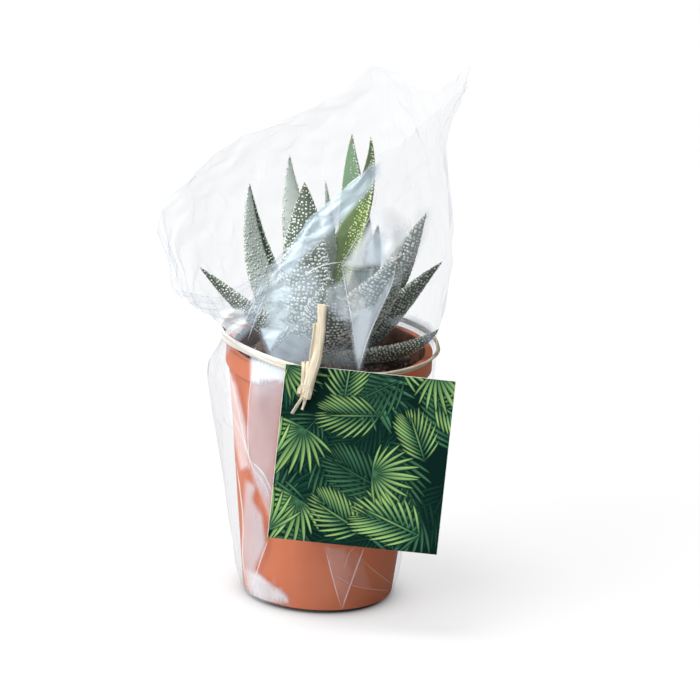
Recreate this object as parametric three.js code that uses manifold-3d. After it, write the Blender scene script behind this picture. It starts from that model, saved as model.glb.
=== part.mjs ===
// A potted haworthia wrapped as a small gift: a spotted rosette in a plastic pot of
// soil, a clear film sleeve drawn up round it, and a raffia tie that carries a square card.
// Millimetres, +Z up. The origin is the middle of the film's underside, where the pot stands.
// The front of the object, with the card, faces -Y.
import * as THREE from "three";
import { mergeVertices } from "three/addons/utils/BufferGeometryUtils.js";
import Module from "manifold-3d";

const wasm = await Module();
wasm.setup();

// ---- driving dimensions ----
const GAP = 0.3; // between pieces that touch on the real object
const ROUND_SIDES = 48; // of the pot, the film and the tie, so that their flats line up

const FILM_THICKNESS = 0.7;
const FOOT_ROUNDING = 0.2;
const FILM_NECK = 2.2; // how far it stays straight above the middle of the tie
const FILM_PLEATS = 1.6; // how far its cut edge waves in and out
const FILM_LEVELS = [0.5, 1, 1.02, 1.2, 1.4, 1.6, 1.74, 1.86, 1.95, 2, 2.12, 2.28, 2.45, 2.64, 2.82, 3];
const FILM_BRIDGE = [10.5, 1.5]; // below the pot's shoulder, where it leaves the wall for the lip
const POT_BOTTOM_Z = FILM_THICKNESS + GAP;
const POT_TOP_Z = 75.5;
const POT_BASE_RADIUS = 22;
const POT_SHOULDER_RADIUS = 29.2;
const POT_LIP_RADIUS = 30.2;
const POT_LIP_HEIGHT = 6;
const POT_STEP = 0.6; // half the height of the step under the lip
const POT_EDGE = 0.5; // of its rounded corners
const POT_WALL = 1.4;
const POT_FLOOR = 1.8;
const DRAIN_RADIUS = 2.6;
const DRAIN_RING_RADIUS = 13;
const DRAIN_COUNT = 4;
const FILM_RADIUS = POT_LIP_RADIUS + GAP + FILM_THICKNESS / 2; // of its middle surface at the tie

const SOIL_TOP_Z = 68;
const SOIL_CROWN = 2; // how much higher the soil stands at the stem than at the wall
const SOIL_LUMPS = 1; // height of its lumps
const SOIL_SIDES = 30;
const STEM_RADIUS = 4.6;
const STEM_BOTTOM_Z = 48;
const STEM_TOP_Z = 82;
const STEM_SIDES = 14;

const TIE_Z = 77.3;
const TIE_TILT = new THREE.Vector2(-0.8, 0.2); // rise of the tie towards +X and +Y, over its radius
const RAFFIA_SIDES = 6;
const RAFFIA_WIDTH = 2.4;
const RAFFIA_THICKNESS = 1;
const HOOP_RADIUS = FILM_RADIUS + FILM_THICKNESS / 2 + GAP + RAFFIA_THICKNESS / 2;

const CARD_WIDTH = 49.5;
const CARD_HEIGHT = 52;
const CARD_THICKNESS = 0.5;
const CARD_HOLE = new THREE.Vector2(-6.4, 72.5); // its middle, across and up
const CARD_HOLE_RADIUS = 2.1;
const CARD_HOLE_FROM_LEFT = 6.4;
const CARD_HOLE_FROM_TOP = 7.7;
const CARD_HOLE_DISTANCE = 34.1; // from the pot's axis to the middle of the card's thickness
const CARD_TILT = THREE.MathUtils.degToRad(-5); // its foot stands out from the pot
const CARD_LEAN = THREE.MathUtils.degToRad(-3); // its right side hangs lower

const LEAF_ROOT = 0.35; // of the stem's radius, where a leaf's middle line starts
const SPINE_START = 0.38; // reach of the spine's two handles, as shares of the leaf's length
const SPINE_END = 0.36;
const LEAF_STATIONS = 14;
const LEAF_SIDES = 12;
const LEAF_WIDEST = 0.27; // of the way from root to tip
const LEAF_ROOT_BREADTH = 0.62; // of the widest
const LEAF_TAPER = 1.9; // power of its narrowing to the tip
const TUBERCLE_HEIGHT = 0.45;
const TRIM_GROWTH = 0.75; // a leaf is cut back this far from the leaves that grow above it

// Each leaf grows from the stem at an azimuth and a height. Its middle line leaves the stem at one
// slope and meets the tip at another, both in degrees above level, past 90 where it leans back in.
// The roll turns its face about that line. The first leaf is the youngest, at the heart of the
// rosette, and each next one is cut back where it would cross a younger one.
const LEAF_FIELDS = ["name", "azimuth", "rootZ", "tip", "leave", "arrive", "width", "depth", "roll"];
const LEAVES = [
  ["leaf_tall_right", 35, 78, [8.5, 4, 138.9], 106, 99, 11, 3, 0],
  ["leaf_tall_back", 66, 77.5, [2.4, 13, 136.6], 62, 92, 15, 3.2, 0],
  ["leaf_heart_left", 118, 77.5, [-4.5, 9, 123.3], 84, 80, 8, 2.6, 0],
  ["leaf_heart_front", 285, 77.5, [3, -8, 100], 62, 84, 7, 2.4, 0],
  ["leaf_front_left", 226, 77, [-9.9, -7, 127.4], 36, 96, 19, 4.2, 0],
  ["leaf_front_right", 306, 76.5, [18.8, -17, 108.5], 38, 62, 17, 4.2, 0],
  ["leaf_mid_right", 50, 76, [12.3, 14, 109], 40, 85, 11, 3.2, 0],
  ["leaf_back_left", 122, 75.5, [-14.7, 22, 126.4], 48, 84, 12, 3.2, 0],
  ["leaf_right", 338, 75.5, [25.5, -3, 118.8], 34, 62, 14, 3.6, -45],
  ["leaf_left", 150, 75, [-25.6, 12, 120.2], 4, 86, 12, 3.4, -22],
  ["leaf_front", 262, 75, [-0.2, -19, 105.7], 30, 82, 13, 3.6, 0],
  ["leaf_back", 88, 74.5, [4, 27, 112], 24, 68, 13, 3.4, 0],
  ["leaf_low_right", 352, 74.5, [31.2, -5, 104.7], 16, 50, 13, 3.6, -30],
  ["leaf_low_left", 192, 74, [-39, -3, 98.6], -1, 42, 12, 3.6, 25],
  ["leaf_low_front_right", 324, 74.5, [30, -8.5, 85.6], 2, 46, 11, 3.2, -15],
  ["leaf_low_back_left", 118, 74, [-14, 27, 98], 14, 52, 12, 3.2, 0],
  ["leaf_low_back_right", 52, 74, [21, 23, 96], 14, 50, 12, 3.2, 0],
].map((row) => Object.fromEntries(row.map((value, i) => [LEAF_FIELDS[i], value])));
const YOUNG_LEAVES = ["leaf_tall_right"];

// The sleeve above the tie: turn in degrees from +X, then its radius a third of the way up, its
// radius three quarters of the way up, and the radius and height of its cut edge there.
// The high points are the sleeve's corners.
const FILM_TOP = [
  [0, 34.2, 30.4, 37, 161.5],
  [6, 34.2, 30.6, 38, 163],
  [28, 33.8, 30, 31, 150],
  [45, 34, 30.5, 30.5, 148.5],
  [75, 35, 34.5, 32.5, 152.5],
  [90, 35.5, 35.5, 33, 143.5],
  [110, 36, 38, 35, 136],
  [145, 37, 42.5, 43, 125.5],
  [160, 38, 45, 47, 119.5],
  [171, 38, 48.5, 56, 111],
  [184, 36.5, 43, 46.5, 99],
  [197, 36, 43, 47.5, 94],
  [215, 34.5, 38.5, 39.5, 96.5],
  [240, 33.2, 34, 33.5, 109.5],
  [271, 32.6, 32.5, 31, 130.5],
  [291, 32.6, 31.5, 30.5, 143],
  [323, 33.4, 30.5, 31, 150],
  [350, 34.2, 30.2, 35, 159.5],
  [360, 34.2, 30.4, 37, 161.5],
];

// Folds that stand out of the sleeve where it hangs round the pot:
// turn, half breadth in degrees, and how far out at the foot and at mid height.
const FILM_FOLDS = [
  [180, 40, 0.6, 5],
  [232, 13, 1.2, 1.4],
  [285, 16, 2.2, 0.6],
  [345, 14, 0.5, 1.2],
  [48, 22, 1, 3],
  [112, 18, 1.6, 2.2],
];

// ---- small helpers ----
const { clamp, degToRad, lerp, smoothstep } = THREE.MathUtils;

function turn(x, y) {
  return (THREE.MathUtils.radToDeg(Math.atan2(y, x)) + 360) % 360;
}

// A closed mesh from rings of points that all have the same count, capped by one point at each end.
// Each four-sided patch is split so that its diagonal joins two points whose place in the grid is odd.
function ringsGeometry(rings, startPoint, endPoint) {
  const sides = rings[0].length;
  const points = [startPoint, ...rings.flat(), endPoint];
  const last = points.length - 1;
  const index = [];
  for (let side = 0; side < sides; side++) {
    const next = (side + 1) % sides;
    index.push(0, 1 + next, 1 + side);
    for (let ring = 0; ring + 1 < rings.length; ring++) {
      const low = 1 + ring * sides;
      const high = low + sides;
      if ((ring + side) % 2 === 0) {
        index.push(low + side, low + next, high + side);
        index.push(low + next, high + next, high + side);
      } else {
        index.push(low + side, low + next, high + next);
        index.push(low + side, high + next, high + side);
      }
    }
    const top = 1 + (rings.length - 1) * sides;
    index.push(top + side, top + next, last);
  }
  return new THREE.BufferGeometry().setFromPoints(points).setIndex(index);
}

function solidFrom(geometry) {
  const bare = geometry.index ? geometry.toNonIndexed() : geometry.clone();
  bare.deleteAttribute("normal");
  bare.deleteAttribute("uv");
  const merged = mergeVertices(bare, 1e-4);
  return new wasm.Manifold(
    new wasm.Mesh({
      numProp: 3,
      vertProperties: new Float32Array(merged.attributes.position.array),
      triVerts: new Uint32Array(merged.index.array),
    }),
  );
}

function geometryFrom(solid) {
  const mesh = solid.getMesh();
  return new THREE.BufferGeometry()
    .setAttribute("position", new THREE.BufferAttribute(mesh.vertProperties, 3))
    .setIndex(new THREE.BufferAttribute(mesh.triVerts, 1));
}

function biggestBody(solid) {
  const bodies = solid.decompose();
  return bodies.reduce((a, b) => (a.volume() >= b.volume() ? a : b));
}

function standingLathe(profile, segments) {
  return new THREE.LatheGeometry(profile, segments).rotateX(Math.PI / 2);
}

// ---- materials ----
const paint = (color, roughness, extra = {}) =>
  new THREE.MeshStandardMaterial({ color, roughness, metalness: 0, ...extra });
const terracotta = paint(0xb4532f, 0.55);
const peat = paint(0x3a2a22, 0.95);
const leafGreen = paint(0x4d6a44, 0.5);
const youngLeafGreen = paint(0x7e9b3c, 0.5);
const stemGreen = paint(0x7a8052, 0.7);
const clearFilm = paint(0xf2f5f8, 0.1, { transparent: true, opacity: 0.25 });
const raffiaStraw = paint(0xd8bd86, 0.75);
const cardPrint = paint(0x21492f, 0.45);

const part = new THREE.Group();

function addPiece(name, geometry, material) {
  const mesh = new THREE.Mesh(geometry, material);
  mesh.name = name;
  part.add(mesh);
  return mesh;
}

// ---- pot: a tapered plastic pot with a plain lip and drain holes ----
function potOuterRadius(z) {
  const shoulderZ = POT_TOP_Z - POT_LIP_HEIGHT;
  const taper = clamp((z - POT_BOTTOM_Z) / (shoulderZ - POT_BOTTOM_Z), 0, 1);
  const body = lerp(POT_BASE_RADIUS, POT_SHOULDER_RADIUS, taper);
  return lerp(body, POT_LIP_RADIUS, smoothstep(z, shoulderZ - POT_STEP, shoulderZ + POT_STEP));
}

function potInnerRadius(z) {
  const taper = (z - POT_BOTTOM_Z) / (POT_TOP_Z - POT_BOTTOM_Z);
  return lerp(POT_BASE_RADIUS, POT_SHOULDER_RADIUS, taper) - POT_WALL;
}

function makePot() {
  const shoulderZ = POT_TOP_Z - POT_LIP_HEIGHT;
  const floorZ = POT_BOTTOM_Z + POT_FLOOR;
  const profile = [
    [0, POT_BOTTOM_Z],
    [POT_BASE_RADIUS - POT_EDGE, POT_BOTTOM_Z],
    [POT_BASE_RADIUS, POT_BOTTOM_Z + POT_EDGE],
    [POT_SHOULDER_RADIUS, shoulderZ - POT_STEP],
    [POT_LIP_RADIUS, shoulderZ + POT_STEP],
    [POT_LIP_RADIUS, POT_TOP_Z - POT_EDGE],
    [POT_LIP_RADIUS - POT_EDGE, POT_TOP_Z],
    [potInnerRadius(POT_TOP_Z), POT_TOP_Z],
    [potInnerRadius(floorZ), floorZ],
    [0, floorZ],
  ].map(([x, y]) => new THREE.Vector2(x, y));
  let pot = solidFrom(standingLathe(profile, ROUND_SIDES));
  for (let i = 0; i < DRAIN_COUNT; i++) {
    const angle = ((i + 0.5) / DRAIN_COUNT) * 2 * Math.PI;
    const drain = new THREE.CylinderGeometry(DRAIN_RADIUS, DRAIN_RADIUS, 4 * POT_FLOOR, 16);
    drain.rotateX(Math.PI / 2);
    drain.translate(
      DRAIN_RING_RADIUS * Math.cos(angle),
      DRAIN_RING_RADIUS * Math.sin(angle),
      POT_BOTTOM_Z,
    );
    pot = pot.subtract(solidFrom(drain));
  }
  return geometryFrom(pot);
}

addPiece("pot", makePot(), terracotta);

// ---- soil: fills the pot below the lip, lumpy on top, with a plain hole for the stem ----
function makeSoil() {
  const bottomZ = POT_BOTTOM_Z + POT_FLOOR + GAP;
  const lump = (angle, radius) =>
    SOIL_LUMPS * (0.55 * Math.sin(3 * angle + radius) + 0.45 * Math.cos(5 * angle - 0.7 * radius));
  const holeRadius = STEM_RADIUS + GAP;
  const ring = (radius, height) =>
    Array.from({ length: SOIL_SIDES }, (_, i) => {
      const angle = (i / SOIL_SIDES) * 2 * Math.PI;
      return new THREE.Vector3(
        radius * Math.cos(angle),
        radius * Math.sin(angle),
        height(angle, radius),
      );
    });
  const top = (angle, radius) =>
    SOIL_TOP_Z + SOIL_CROWN * (1 - radius / potInnerRadius(SOIL_TOP_Z)) + lump(angle, radius);
  const outer = (z) => potInnerRadius(z) - GAP;
  const flat = (z) => () => z;
  const rings = [
    ring(outer(bottomZ), flat(bottomZ)),
    ring(outer(SOIL_TOP_Z) - 0.15, (angle) => top(angle, outer(SOIL_TOP_Z)) - 1),
    ring(0.8 * outer(SOIL_TOP_Z), top),
    ring(0.6 * outer(SOIL_TOP_Z), top),
    ring(0.4 * outer(SOIL_TOP_Z), top),
    ring(holeRadius, top),
    ring(holeRadius, flat(STEM_BOTTOM_Z - GAP)),
  ];
  return ringsGeometry(
    rings,
    new THREE.Vector3(0, 0, bottomZ),
    new THREE.Vector3(0, 0, STEM_BOTTOM_Z - GAP),
  );
}

addPiece("soil", makeSoil(), peat);

// ---- stem: the short stem that the rosette grows from, rooted in the soil ----
function makeStem(room = 0) {
  const profile = [
    [0, STEM_BOTTOM_Z],
    [0.55 * STEM_RADIUS + room, STEM_BOTTOM_Z + 1],
    [STEM_RADIUS + room, STEM_BOTTOM_Z + 9],
    [STEM_RADIUS + room, SOIL_TOP_Z + 6],
    [0.6 * STEM_RADIUS + room, STEM_TOP_Z - 3 + room],
    [0, STEM_TOP_Z + room],
  ].map(([x, y]) => new THREE.Vector2(x, y));
  return standingLathe(profile, STEM_SIDES);
}

addPiece("stem", makeStem(), stemGreen);

// ---- leaves ----
// The leaf's middle line: a cubic from the stem to the tip.
function leafSpine(leaf) {
  const azimuth = degToRad(leaf.azimuth);
  const tip = new THREE.Vector3(...leaf.tip);
  const outward = new THREE.Vector3(Math.cos(azimuth), Math.sin(azimuth), 0);
  const root = outward.clone().multiplyScalar(LEAF_ROOT * STEM_RADIUS).setZ(leaf.rootZ);
  const reach = tip.distanceTo(root);
  const tipWay = tip.clone().sub(root).setZ(0).normalize();
  const slope = (way, degrees) =>
    way.clone().multiplyScalar(Math.cos(degToRad(degrees))).setZ(Math.sin(degToRad(degrees)));
  return new THREE.CubicBezierCurve3(
    root,
    root.clone().addScaledVector(slope(outward, leaf.leave), SPINE_START * reach),
    tip.clone().addScaledVector(slope(tipWay, leaf.arrive), -SPINE_END * reach),
    tip,
  );
}

// Half the leaf's width, as a share of the widest, along its length.
function leafBreadth(u) {
  if (u < LEAF_WIDEST) return lerp(LEAF_ROOT_BREADTH, 1, Math.sin(((u / LEAF_WIDEST) * Math.PI) / 2));
  return 1 - Math.pow((u - LEAF_WIDEST) / (1 - LEAF_WIDEST), LEAF_TAPER);
}

// A leaf's surface: a lens-shaped section, hollow above near the root and keeled below,
// carried along the spine. grow makes a fatter copy of it.
function leafSurface(leaf, { grow = 0, tubercles = true } = {}) {
  const spine = leafSpine(leaf);
  const azimuth = degToRad(leaf.azimuth);
  const side = new THREE.Vector3(-Math.sin(azimuth), Math.cos(azimuth), 0);
  const roll = degToRad(leaf.roll);
  const rings = [];
  for (let station = 0; station < LEAF_STATIONS; station++) {
    const u = station / LEAF_STATIONS;
    const tangent = spine.getTangent(u);
    const centre = spine.getPoint(u).addScaledVector(tangent, station === 0 ? -grow : 0);
    const across = side.clone().addScaledVector(tangent, -side.dot(tangent)).normalize();
    across.applyAxisAngle(tangent, roll * smoothstep(u, 0, 0.5));
    const inner = across.clone().cross(tangent).negate(); // towards the axis and up
    const half = (leaf.width / 2) * leafBreadth(u) + grow;
    const deep = leaf.depth * Math.pow(leafBreadth(u), 0.75) + grow;
    const raised = leaf.depth * lerp(0.02, 0.5, u) * leafBreadth(u) + grow;
    const cupped = 0.2 * half * (1 - u);
    const ring = [];
    for (let k = 0; k < LEAF_SIDES; k++) {
      const angle = (k / LEAF_SIDES) * 2 * Math.PI;
      const x = Math.cos(angle);
      const y = Math.sin(angle);
      const height = y > 0 ? raised * y : deep * y * (1 - 0.25 * Math.abs(x));
      const spotted = tubercles && (station + k) % 2 === 0 && station > 2;
      const bump = spotted ? TUBERCLE_HEIGHT * (1 - 0.4 * u) : 0;
      ring.push(
        centre
          .clone()
          .addScaledVector(across, half * x + bump * x)
          .addScaledVector(inner, height + cupped * x * x + bump * y),
      );
    }
    rings.push(ring);
  }
  const tip = spine.getPoint(1).addScaledVector(spine.getTangent(1), grow);
  const root = spine.getPoint(0).addScaledVector(spine.getTangent(0), -grow);
  return solidFrom(ringsGeometry(rings, root, tip));
}

function makeLeaves() {
  const stemRoom = solidFrom(makeStem(GAP));
  const grown = [];
  for (const leaf of LEAVES) {
    let body = leafSurface(leaf).subtract(stemRoom);
    for (const above of grown) body = body.subtract(above);
    grown.push(leafSurface(leaf, { grow: TRIM_GROWTH, tubercles: false }));
    const green = YOUNG_LEAVES.includes(leaf.name) ? youngLeafGreen : leafGreen;
    addPiece(leaf.name, geometryFrom(biggestBody(body)), green);
  }
}

makeLeaves();

// ---- film: a clear sleeve, closed under the pot, tied at the lip and flared above ----
function tieHeight(angle) {
  return TIE_Z + TIE_TILT.x * Math.cos(angle) + TIE_TILT.y * Math.sin(angle);
}

// The sleeve's rise above the tie at one turn, as a curve of radius and height.
function filmRise(angle) {
  const degrees = turn(Math.cos(angle), Math.sin(angle));
  const next = FILM_TOP.findIndex(([at]) => at > degrees);
  const [before, after] = [FILM_TOP[next - 1], FILM_TOP[next]];
  const share = (degrees - before[0]) / (after[0] - before[0]);
  const [, third, high, edge, top] = after.map((value, i) => lerp(before[i], value, share));
  const neck = tieHeight(angle) + FILM_NECK;
  return new THREE.SplineCurve([
    new THREE.Vector2(FILM_RADIUS, neck),
    new THREE.Vector2(third, lerp(neck, top, 0.35)),
    new THREE.Vector2(high, lerp(neck, top, 0.75)),
    new THREE.Vector2(edge, top),
  ]);
}

function foldAt(angle, share) {
  const degrees = turn(Math.cos(angle), Math.sin(angle));
  const faded = 1 - smoothstep(share, 0.8, 0.96);
  return FILM_FOLDS.reduce((most, [at, breadth, foot, middle]) => {
    const away = Math.abs(((degrees - at + 540) % 360) - 180) / breadth;
    const out = lerp(foot, middle, Math.min(share / 0.7, 1)) * faded;
    return away < 1 ? Math.max(most, out * Math.pow(Math.cos((away * Math.PI) / 2), 2)) : most;
  }, 0);
}

function pleatAt(angle) {
  return 0.55 * Math.cos(5 * angle + 1) + 0.45 * Math.cos(9 * angle + 2.2);
}

// The radius that the film hugs: it bridges the step under the pot's lip.
function hugRadius(z) {
  const shoulderZ = POT_TOP_Z - POT_LIP_HEIGHT;
  const [start, end] = FILM_BRIDGE.map((below) => shoulderZ - below);
  return lerp(potOuterRadius(z), POT_LIP_RADIUS, smoothstep(z, start, end));
}

// The middle surface of the film. The level runs from 0 to 1 under the pot, to 2 up its side,
// and to 3 above the tie.
function filmPoint(angle, level) {
  const footRadius = POT_BASE_RADIUS + GAP + FILM_THICKNESS / 2;
  const at = (radius, z) =>
    new THREE.Vector3(radius * Math.cos(angle), radius * Math.sin(angle), z);
  if (level <= 1) return at(level * (footRadius - FOOT_ROUNDING), FILM_THICKNESS / 2);
  if (level <= 2) {
    const share = level - 1;
    const z = lerp(POT_BOTTOM_Z + 0.4, tieHeight(angle) + FILM_NECK, share);
    return at(hugRadius(z) + GAP + FILM_THICKNESS / 2 + foldAt(angle, share), z);
  }
  const share = level - 2;
  const { x: radius, y: z } = filmRise(angle).getPoint(share);
  return at(radius + FILM_PLEATS * share * pleatAt(angle) * smoothstep(share, 0, 0.3), z);
}

function makeFilm() {
  const angles = Array.from({ length: ROUND_SIDES }, (_, i) => (i / ROUND_SIDES) * 2 * Math.PI);
  const skin = (offset) =>
    FILM_LEVELS.map((level) =>
      angles.map((angle) => {
        const point = filmPoint(angle, level);
        if (level <= 1) return point.add(new THREE.Vector3(0, 0, -offset));
        const along = filmPoint(angle, Math.min(level + 0.02, 3)).sub(filmPoint(angle, level - 0.02));
        const round = filmPoint(angle + 0.05, level).sub(filmPoint(angle - 0.05, level));
        return point.addScaledVector(round.cross(along).normalize(), offset);
      }),
    );
  const half = FILM_THICKNESS / 2;
  const rings = [...skin(half), ...skin(-half).reverse()];
  return ringsGeometry(rings, new THREE.Vector3(0, 0, 0), new THREE.Vector3(0, 0, FILM_THICKNESS));
}

addPiece("film_sleeve", makeFilm(), clearFilm);

// ---- card: a square printed card on the front, hung by its punched hole ----
// The card's own frame starts at the hole: x runs across, y up its face and z out to the viewer.
const cardFrame = new THREE.Matrix4()
  .makeTranslation(CARD_HOLE.x, -CARD_HOLE_DISTANCE, CARD_HOLE.y)
  .multiply(new THREE.Matrix4().makeRotationX(Math.PI / 2 + CARD_TILT));

function makeCard() {
  const outline = new THREE.Shape([
    new THREE.Vector2(-CARD_HOLE_FROM_LEFT, CARD_HOLE_FROM_TOP - CARD_HEIGHT),
    new THREE.Vector2(CARD_WIDTH - CARD_HOLE_FROM_LEFT, CARD_HOLE_FROM_TOP - CARD_HEIGHT),
    new THREE.Vector2(CARD_WIDTH - CARD_HOLE_FROM_LEFT, CARD_HOLE_FROM_TOP),
    new THREE.Vector2(-CARD_HOLE_FROM_LEFT, CARD_HOLE_FROM_TOP),
  ]);
  outline.holes.push(new THREE.Path().absarc(0, 0, CARD_HOLE_RADIUS, 0, 2 * Math.PI, true));
  const card = new THREE.ExtrudeGeometry(outline, {
    depth: CARD_THICKNESS,
    bevelEnabled: false,
    curveSegments: 12,
  });
  return card
    .translate(0, 0, -CARD_THICKNESS / 2)
    .rotateZ(CARD_LEAN)
    .applyMatrix4(cardFrame);
}

addPiece("card", makeCard(), cardPrint);

// ---- raffia: a hoop round the film, led through the card's hole to a knot in front of it ----
// A flat strand along a smooth path, lying as wide as it can along +X.
function strand(points, width, thickness, steps) {
  const path = new THREE.CatmullRomCurve3(points);
  const corners = [[1, 0], [0.6, 1], [-0.6, 1], [-1, 0], [-0.6, -1], [0.6, -1]];
  const rings = Array.from({ length: steps + 1 }, (_, step) => {
    const along = path.getTangent(step / steps);
    const across = new THREE.Vector3(1, 0, 0).addScaledVector(along, -along.x).normalize();
    const through = along.clone().cross(across);
    return corners.map(([x, y]) =>
      path
        .getPoint(step / steps)
        .addScaledVector(across, (x * width) / 2)
        .addScaledVector(through, (y * thickness) / 2),
    );
  });
  return solidFrom(ringsGeometry(rings, points[0], points[points.length - 1]));
}

function raffiaHoop() {
  const loop = [];
  for (let k = 0; k < RAFFIA_SIDES; k++) {
    const section = (k / RAFFIA_SIDES) * 2 * Math.PI;
    loop.push([
      (RAFFIA_THICKNESS / 2) * Math.cos(section),
      (RAFFIA_WIDTH / 2) * Math.sin(section),
    ]);
  }
  const points = [];
  const index = [];
  for (let i = 0; i < ROUND_SIDES; i++) {
    const angle = (i / ROUND_SIDES) * 2 * Math.PI;
    for (const [thick, wide] of loop) {
      const radius = HOOP_RADIUS + thick;
      points.push(
        new THREE.Vector3(radius * Math.cos(angle), radius * Math.sin(angle), tieHeight(angle) + wide),
      );
    }
    const here = i * RAFFIA_SIDES;
    const next = ((i + 1) % ROUND_SIDES) * RAFFIA_SIDES;
    for (let k = 0; k < RAFFIA_SIDES; k++) {
      const up = (k + 1) % RAFFIA_SIDES;
      index.push(here + k, next + k, next + up, here + k, next + up, here + up);
    }
  }
  return solidFrom(new THREE.BufferGeometry().setFromPoints(points).setIndex(index));
}

// The point of the hoop's middle line at x on its front, raised by rise.
function onHoop(x, rise) {
  const angle = -Math.acos(x / HOOP_RADIUS);
  return new THREE.Vector3(x, HOOP_RADIUS * Math.sin(angle), tieHeight(angle) + rise);
}

function makeRaffia() {
  const onCard = (x, y, out) => new THREE.Vector3(x, y, out).applyMatrix4(cardFrame);
  const face = CARD_THICKNESS / 2 + GAP + RAFFIA_THICKNESS / 2;
  const overEdge = CARD_HOLE_FROM_TOP + GAP + RAFFIA_THICKNESS / 2;
  const strands = [
    // from the hoop through the hole to the knot
    strand(
      [onHoop(CARD_HOLE.x, -0.4), onCard(0, 0.4, -1), onCard(0, 0, 0), onCard(0, 0, face)],
      1.9,
      RAFFIA_THICKNESS,
      6,
    ),
    // from the knot up the card's face and over its top edge, back to the hoop
    strand(
      [
        onCard(0.3, -0.4, face),
        onCard(0.5, 4, face),
        onCard(0.6, overEdge - 0.5, face),
        onCard(0.6, overEdge + 0.5, 0),
        onCard(0.6, overEdge - 0.8, -1.6),
        onHoop(CARD_HOLE.x + 0.6, 0),
      ],
      2.2,
      0.9,
      12,
    ),
    // the two tails that stand up, and the short one that hangs
    strand(
      [
        onCard(0.6, -0.4, face + 0.7),
        onCard(1.7, 5.8, face + 1.1),
        onCard(3.2, 12.5, face + 1.2),
        onCard(3.7, 18.5, face + 1.9),
        onCard(3.7, 26.9, face + 2.6),
      ],
      2.8,
      RAFFIA_THICKNESS,
      9,
    ),
    strand(
      [onCard(0, 0, face + 0.3), onCard(1.6, 10, face + 0.7), onCard(2.3, 21, face + 1.2)],
      1.8,
      0.9,
      6,
    ),
    strand(
      [onCard(0.2, 0, face + 0.6), onCard(-1.4, -2.2, face + 0.4), onCard(-3.2, -6.2, face)],
      1.2,
      0.8,
      4,
    ),
  ];
  const knot = new THREE.SphereGeometry(1, 10, 7)
    .scale(1.7, 2.3, 1)
    .rotateZ(0.3)
    .translate(0, 0.1, face + 0.7)
    .applyMatrix4(cardFrame);
  return geometryFrom(strands.reduce((tie, next) => tie.add(next), raffiaHoop().add(solidFrom(knot))));
}

addPiece("raffia_tie", makeRaffia(), raffiaStraw);

export default part;
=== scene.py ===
# A potted haworthia in a clear film sleeve, tied at the rim with raffia and hung with a printed card.
# Sizes are millimetres until a mesh is written; Blender's own lengths are metres.
import math

import bpy
import numpy as np
from mathutils import Matrix, Quaternion, Vector, noise
from mathutils.bvhtree import BVHTree


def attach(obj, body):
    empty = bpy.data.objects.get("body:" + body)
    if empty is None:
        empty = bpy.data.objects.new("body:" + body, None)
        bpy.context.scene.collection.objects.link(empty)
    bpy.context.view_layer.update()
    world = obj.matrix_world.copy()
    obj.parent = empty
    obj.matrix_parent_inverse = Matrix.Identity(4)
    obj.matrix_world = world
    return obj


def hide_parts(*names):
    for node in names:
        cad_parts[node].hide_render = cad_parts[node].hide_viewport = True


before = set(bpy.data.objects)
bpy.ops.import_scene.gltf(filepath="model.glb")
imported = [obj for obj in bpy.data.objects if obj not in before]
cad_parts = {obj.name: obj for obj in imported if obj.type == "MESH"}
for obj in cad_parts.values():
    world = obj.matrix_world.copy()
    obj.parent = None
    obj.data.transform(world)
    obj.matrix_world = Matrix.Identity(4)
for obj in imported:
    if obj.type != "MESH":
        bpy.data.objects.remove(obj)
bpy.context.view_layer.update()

MM = 0.001
TURN = 2 * math.pi

# ---- sizes, as on the built object ----
POT_BOTTOM_Z = 1.0
POT_TOP_Z = 75.5
POT_BASE_RADIUS = 22
POT_SHOULDER_RADIUS = 29.2
POT_LIP_RADIUS = 30.2
POT_LIP_HEIGHT = 6
POT_STEP = 0.6
POT_WALL = 1.4
POT_FLOOR = 1.8
POT_SIDES = 144
DRAIN_RADIUS = 2.6
DRAIN_RING_RADIUS = 13
DRAIN_COUNT = 4
SHOULDER_Z = POT_TOP_Z - POT_LIP_HEIGHT

SOIL_TOP_Z = 69.6
SOIL_CROWN = 2.4
SOIL_DEPTH = 14
SOIL_RADIUS = POT_SHOULDER_RADIUS - POT_WALL - 1.1
SOIL_LUMP_WIDTH = 7
SOIL_LUMP_HEIGHT = 1.7
STEM_RADIUS = 4.6

FILM_NECK = 2.2
FILM_PLEATS = 1.6
FILM_STANDOFF = 0.65  # from the pot to the middle of the film
FILM_RADIUS = POT_LIP_RADIUS + FILM_STANDOFF
FILM_CELLS_ROUND = 62
FILM_CELLS_UP = 33
FILM_CELLS_FOOT = 4
FILM_CELLS_SIDE = 12
FILM_SHIFT = 0.34  # how far the net's crossings are moved round and up, in cells
FILM_CLIMB = 0.3
FILM_DENT = 0.6  # and how far in or out: on the side, and from the tie to the top
FILM_DENT_TOP = (0.5, 1.5)
FILM_TIGHTNESS = 0.5  # of the edges as the net is divided
FILM_THICKNESS = 0.06
CREASE_THICKNESS = 0.06
TIE_Z = 77.3
TIE_TILT = (-0.8, 0.2)
TIE_RAISED = (218, 34, 1.9)  # turn, breadth in degrees, height
TIE_RADIUS = POT_LIP_RADIUS + 1.35

CARD_WIDTH = 49.5
CARD_HEIGHT = 52
CARD_THICKNESS = 0.5
CARD_HOLE = (-6.4, 72.5)
CARD_HOLE_RADIUS = 2.1
CARD_HOLE_FROM_LEFT = 6.4
CARD_HOLE_FROM_TOP = 7.7
CARD_HOLE_DISTANCE = 34.1
CARD_TILT = math.radians(-5)
CARD_LEAN = math.radians(-3)
CARD_GRAIN = 0.2  # spacing of the printed face's points
CARD_BODY_GRAIN = 1.2

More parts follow.
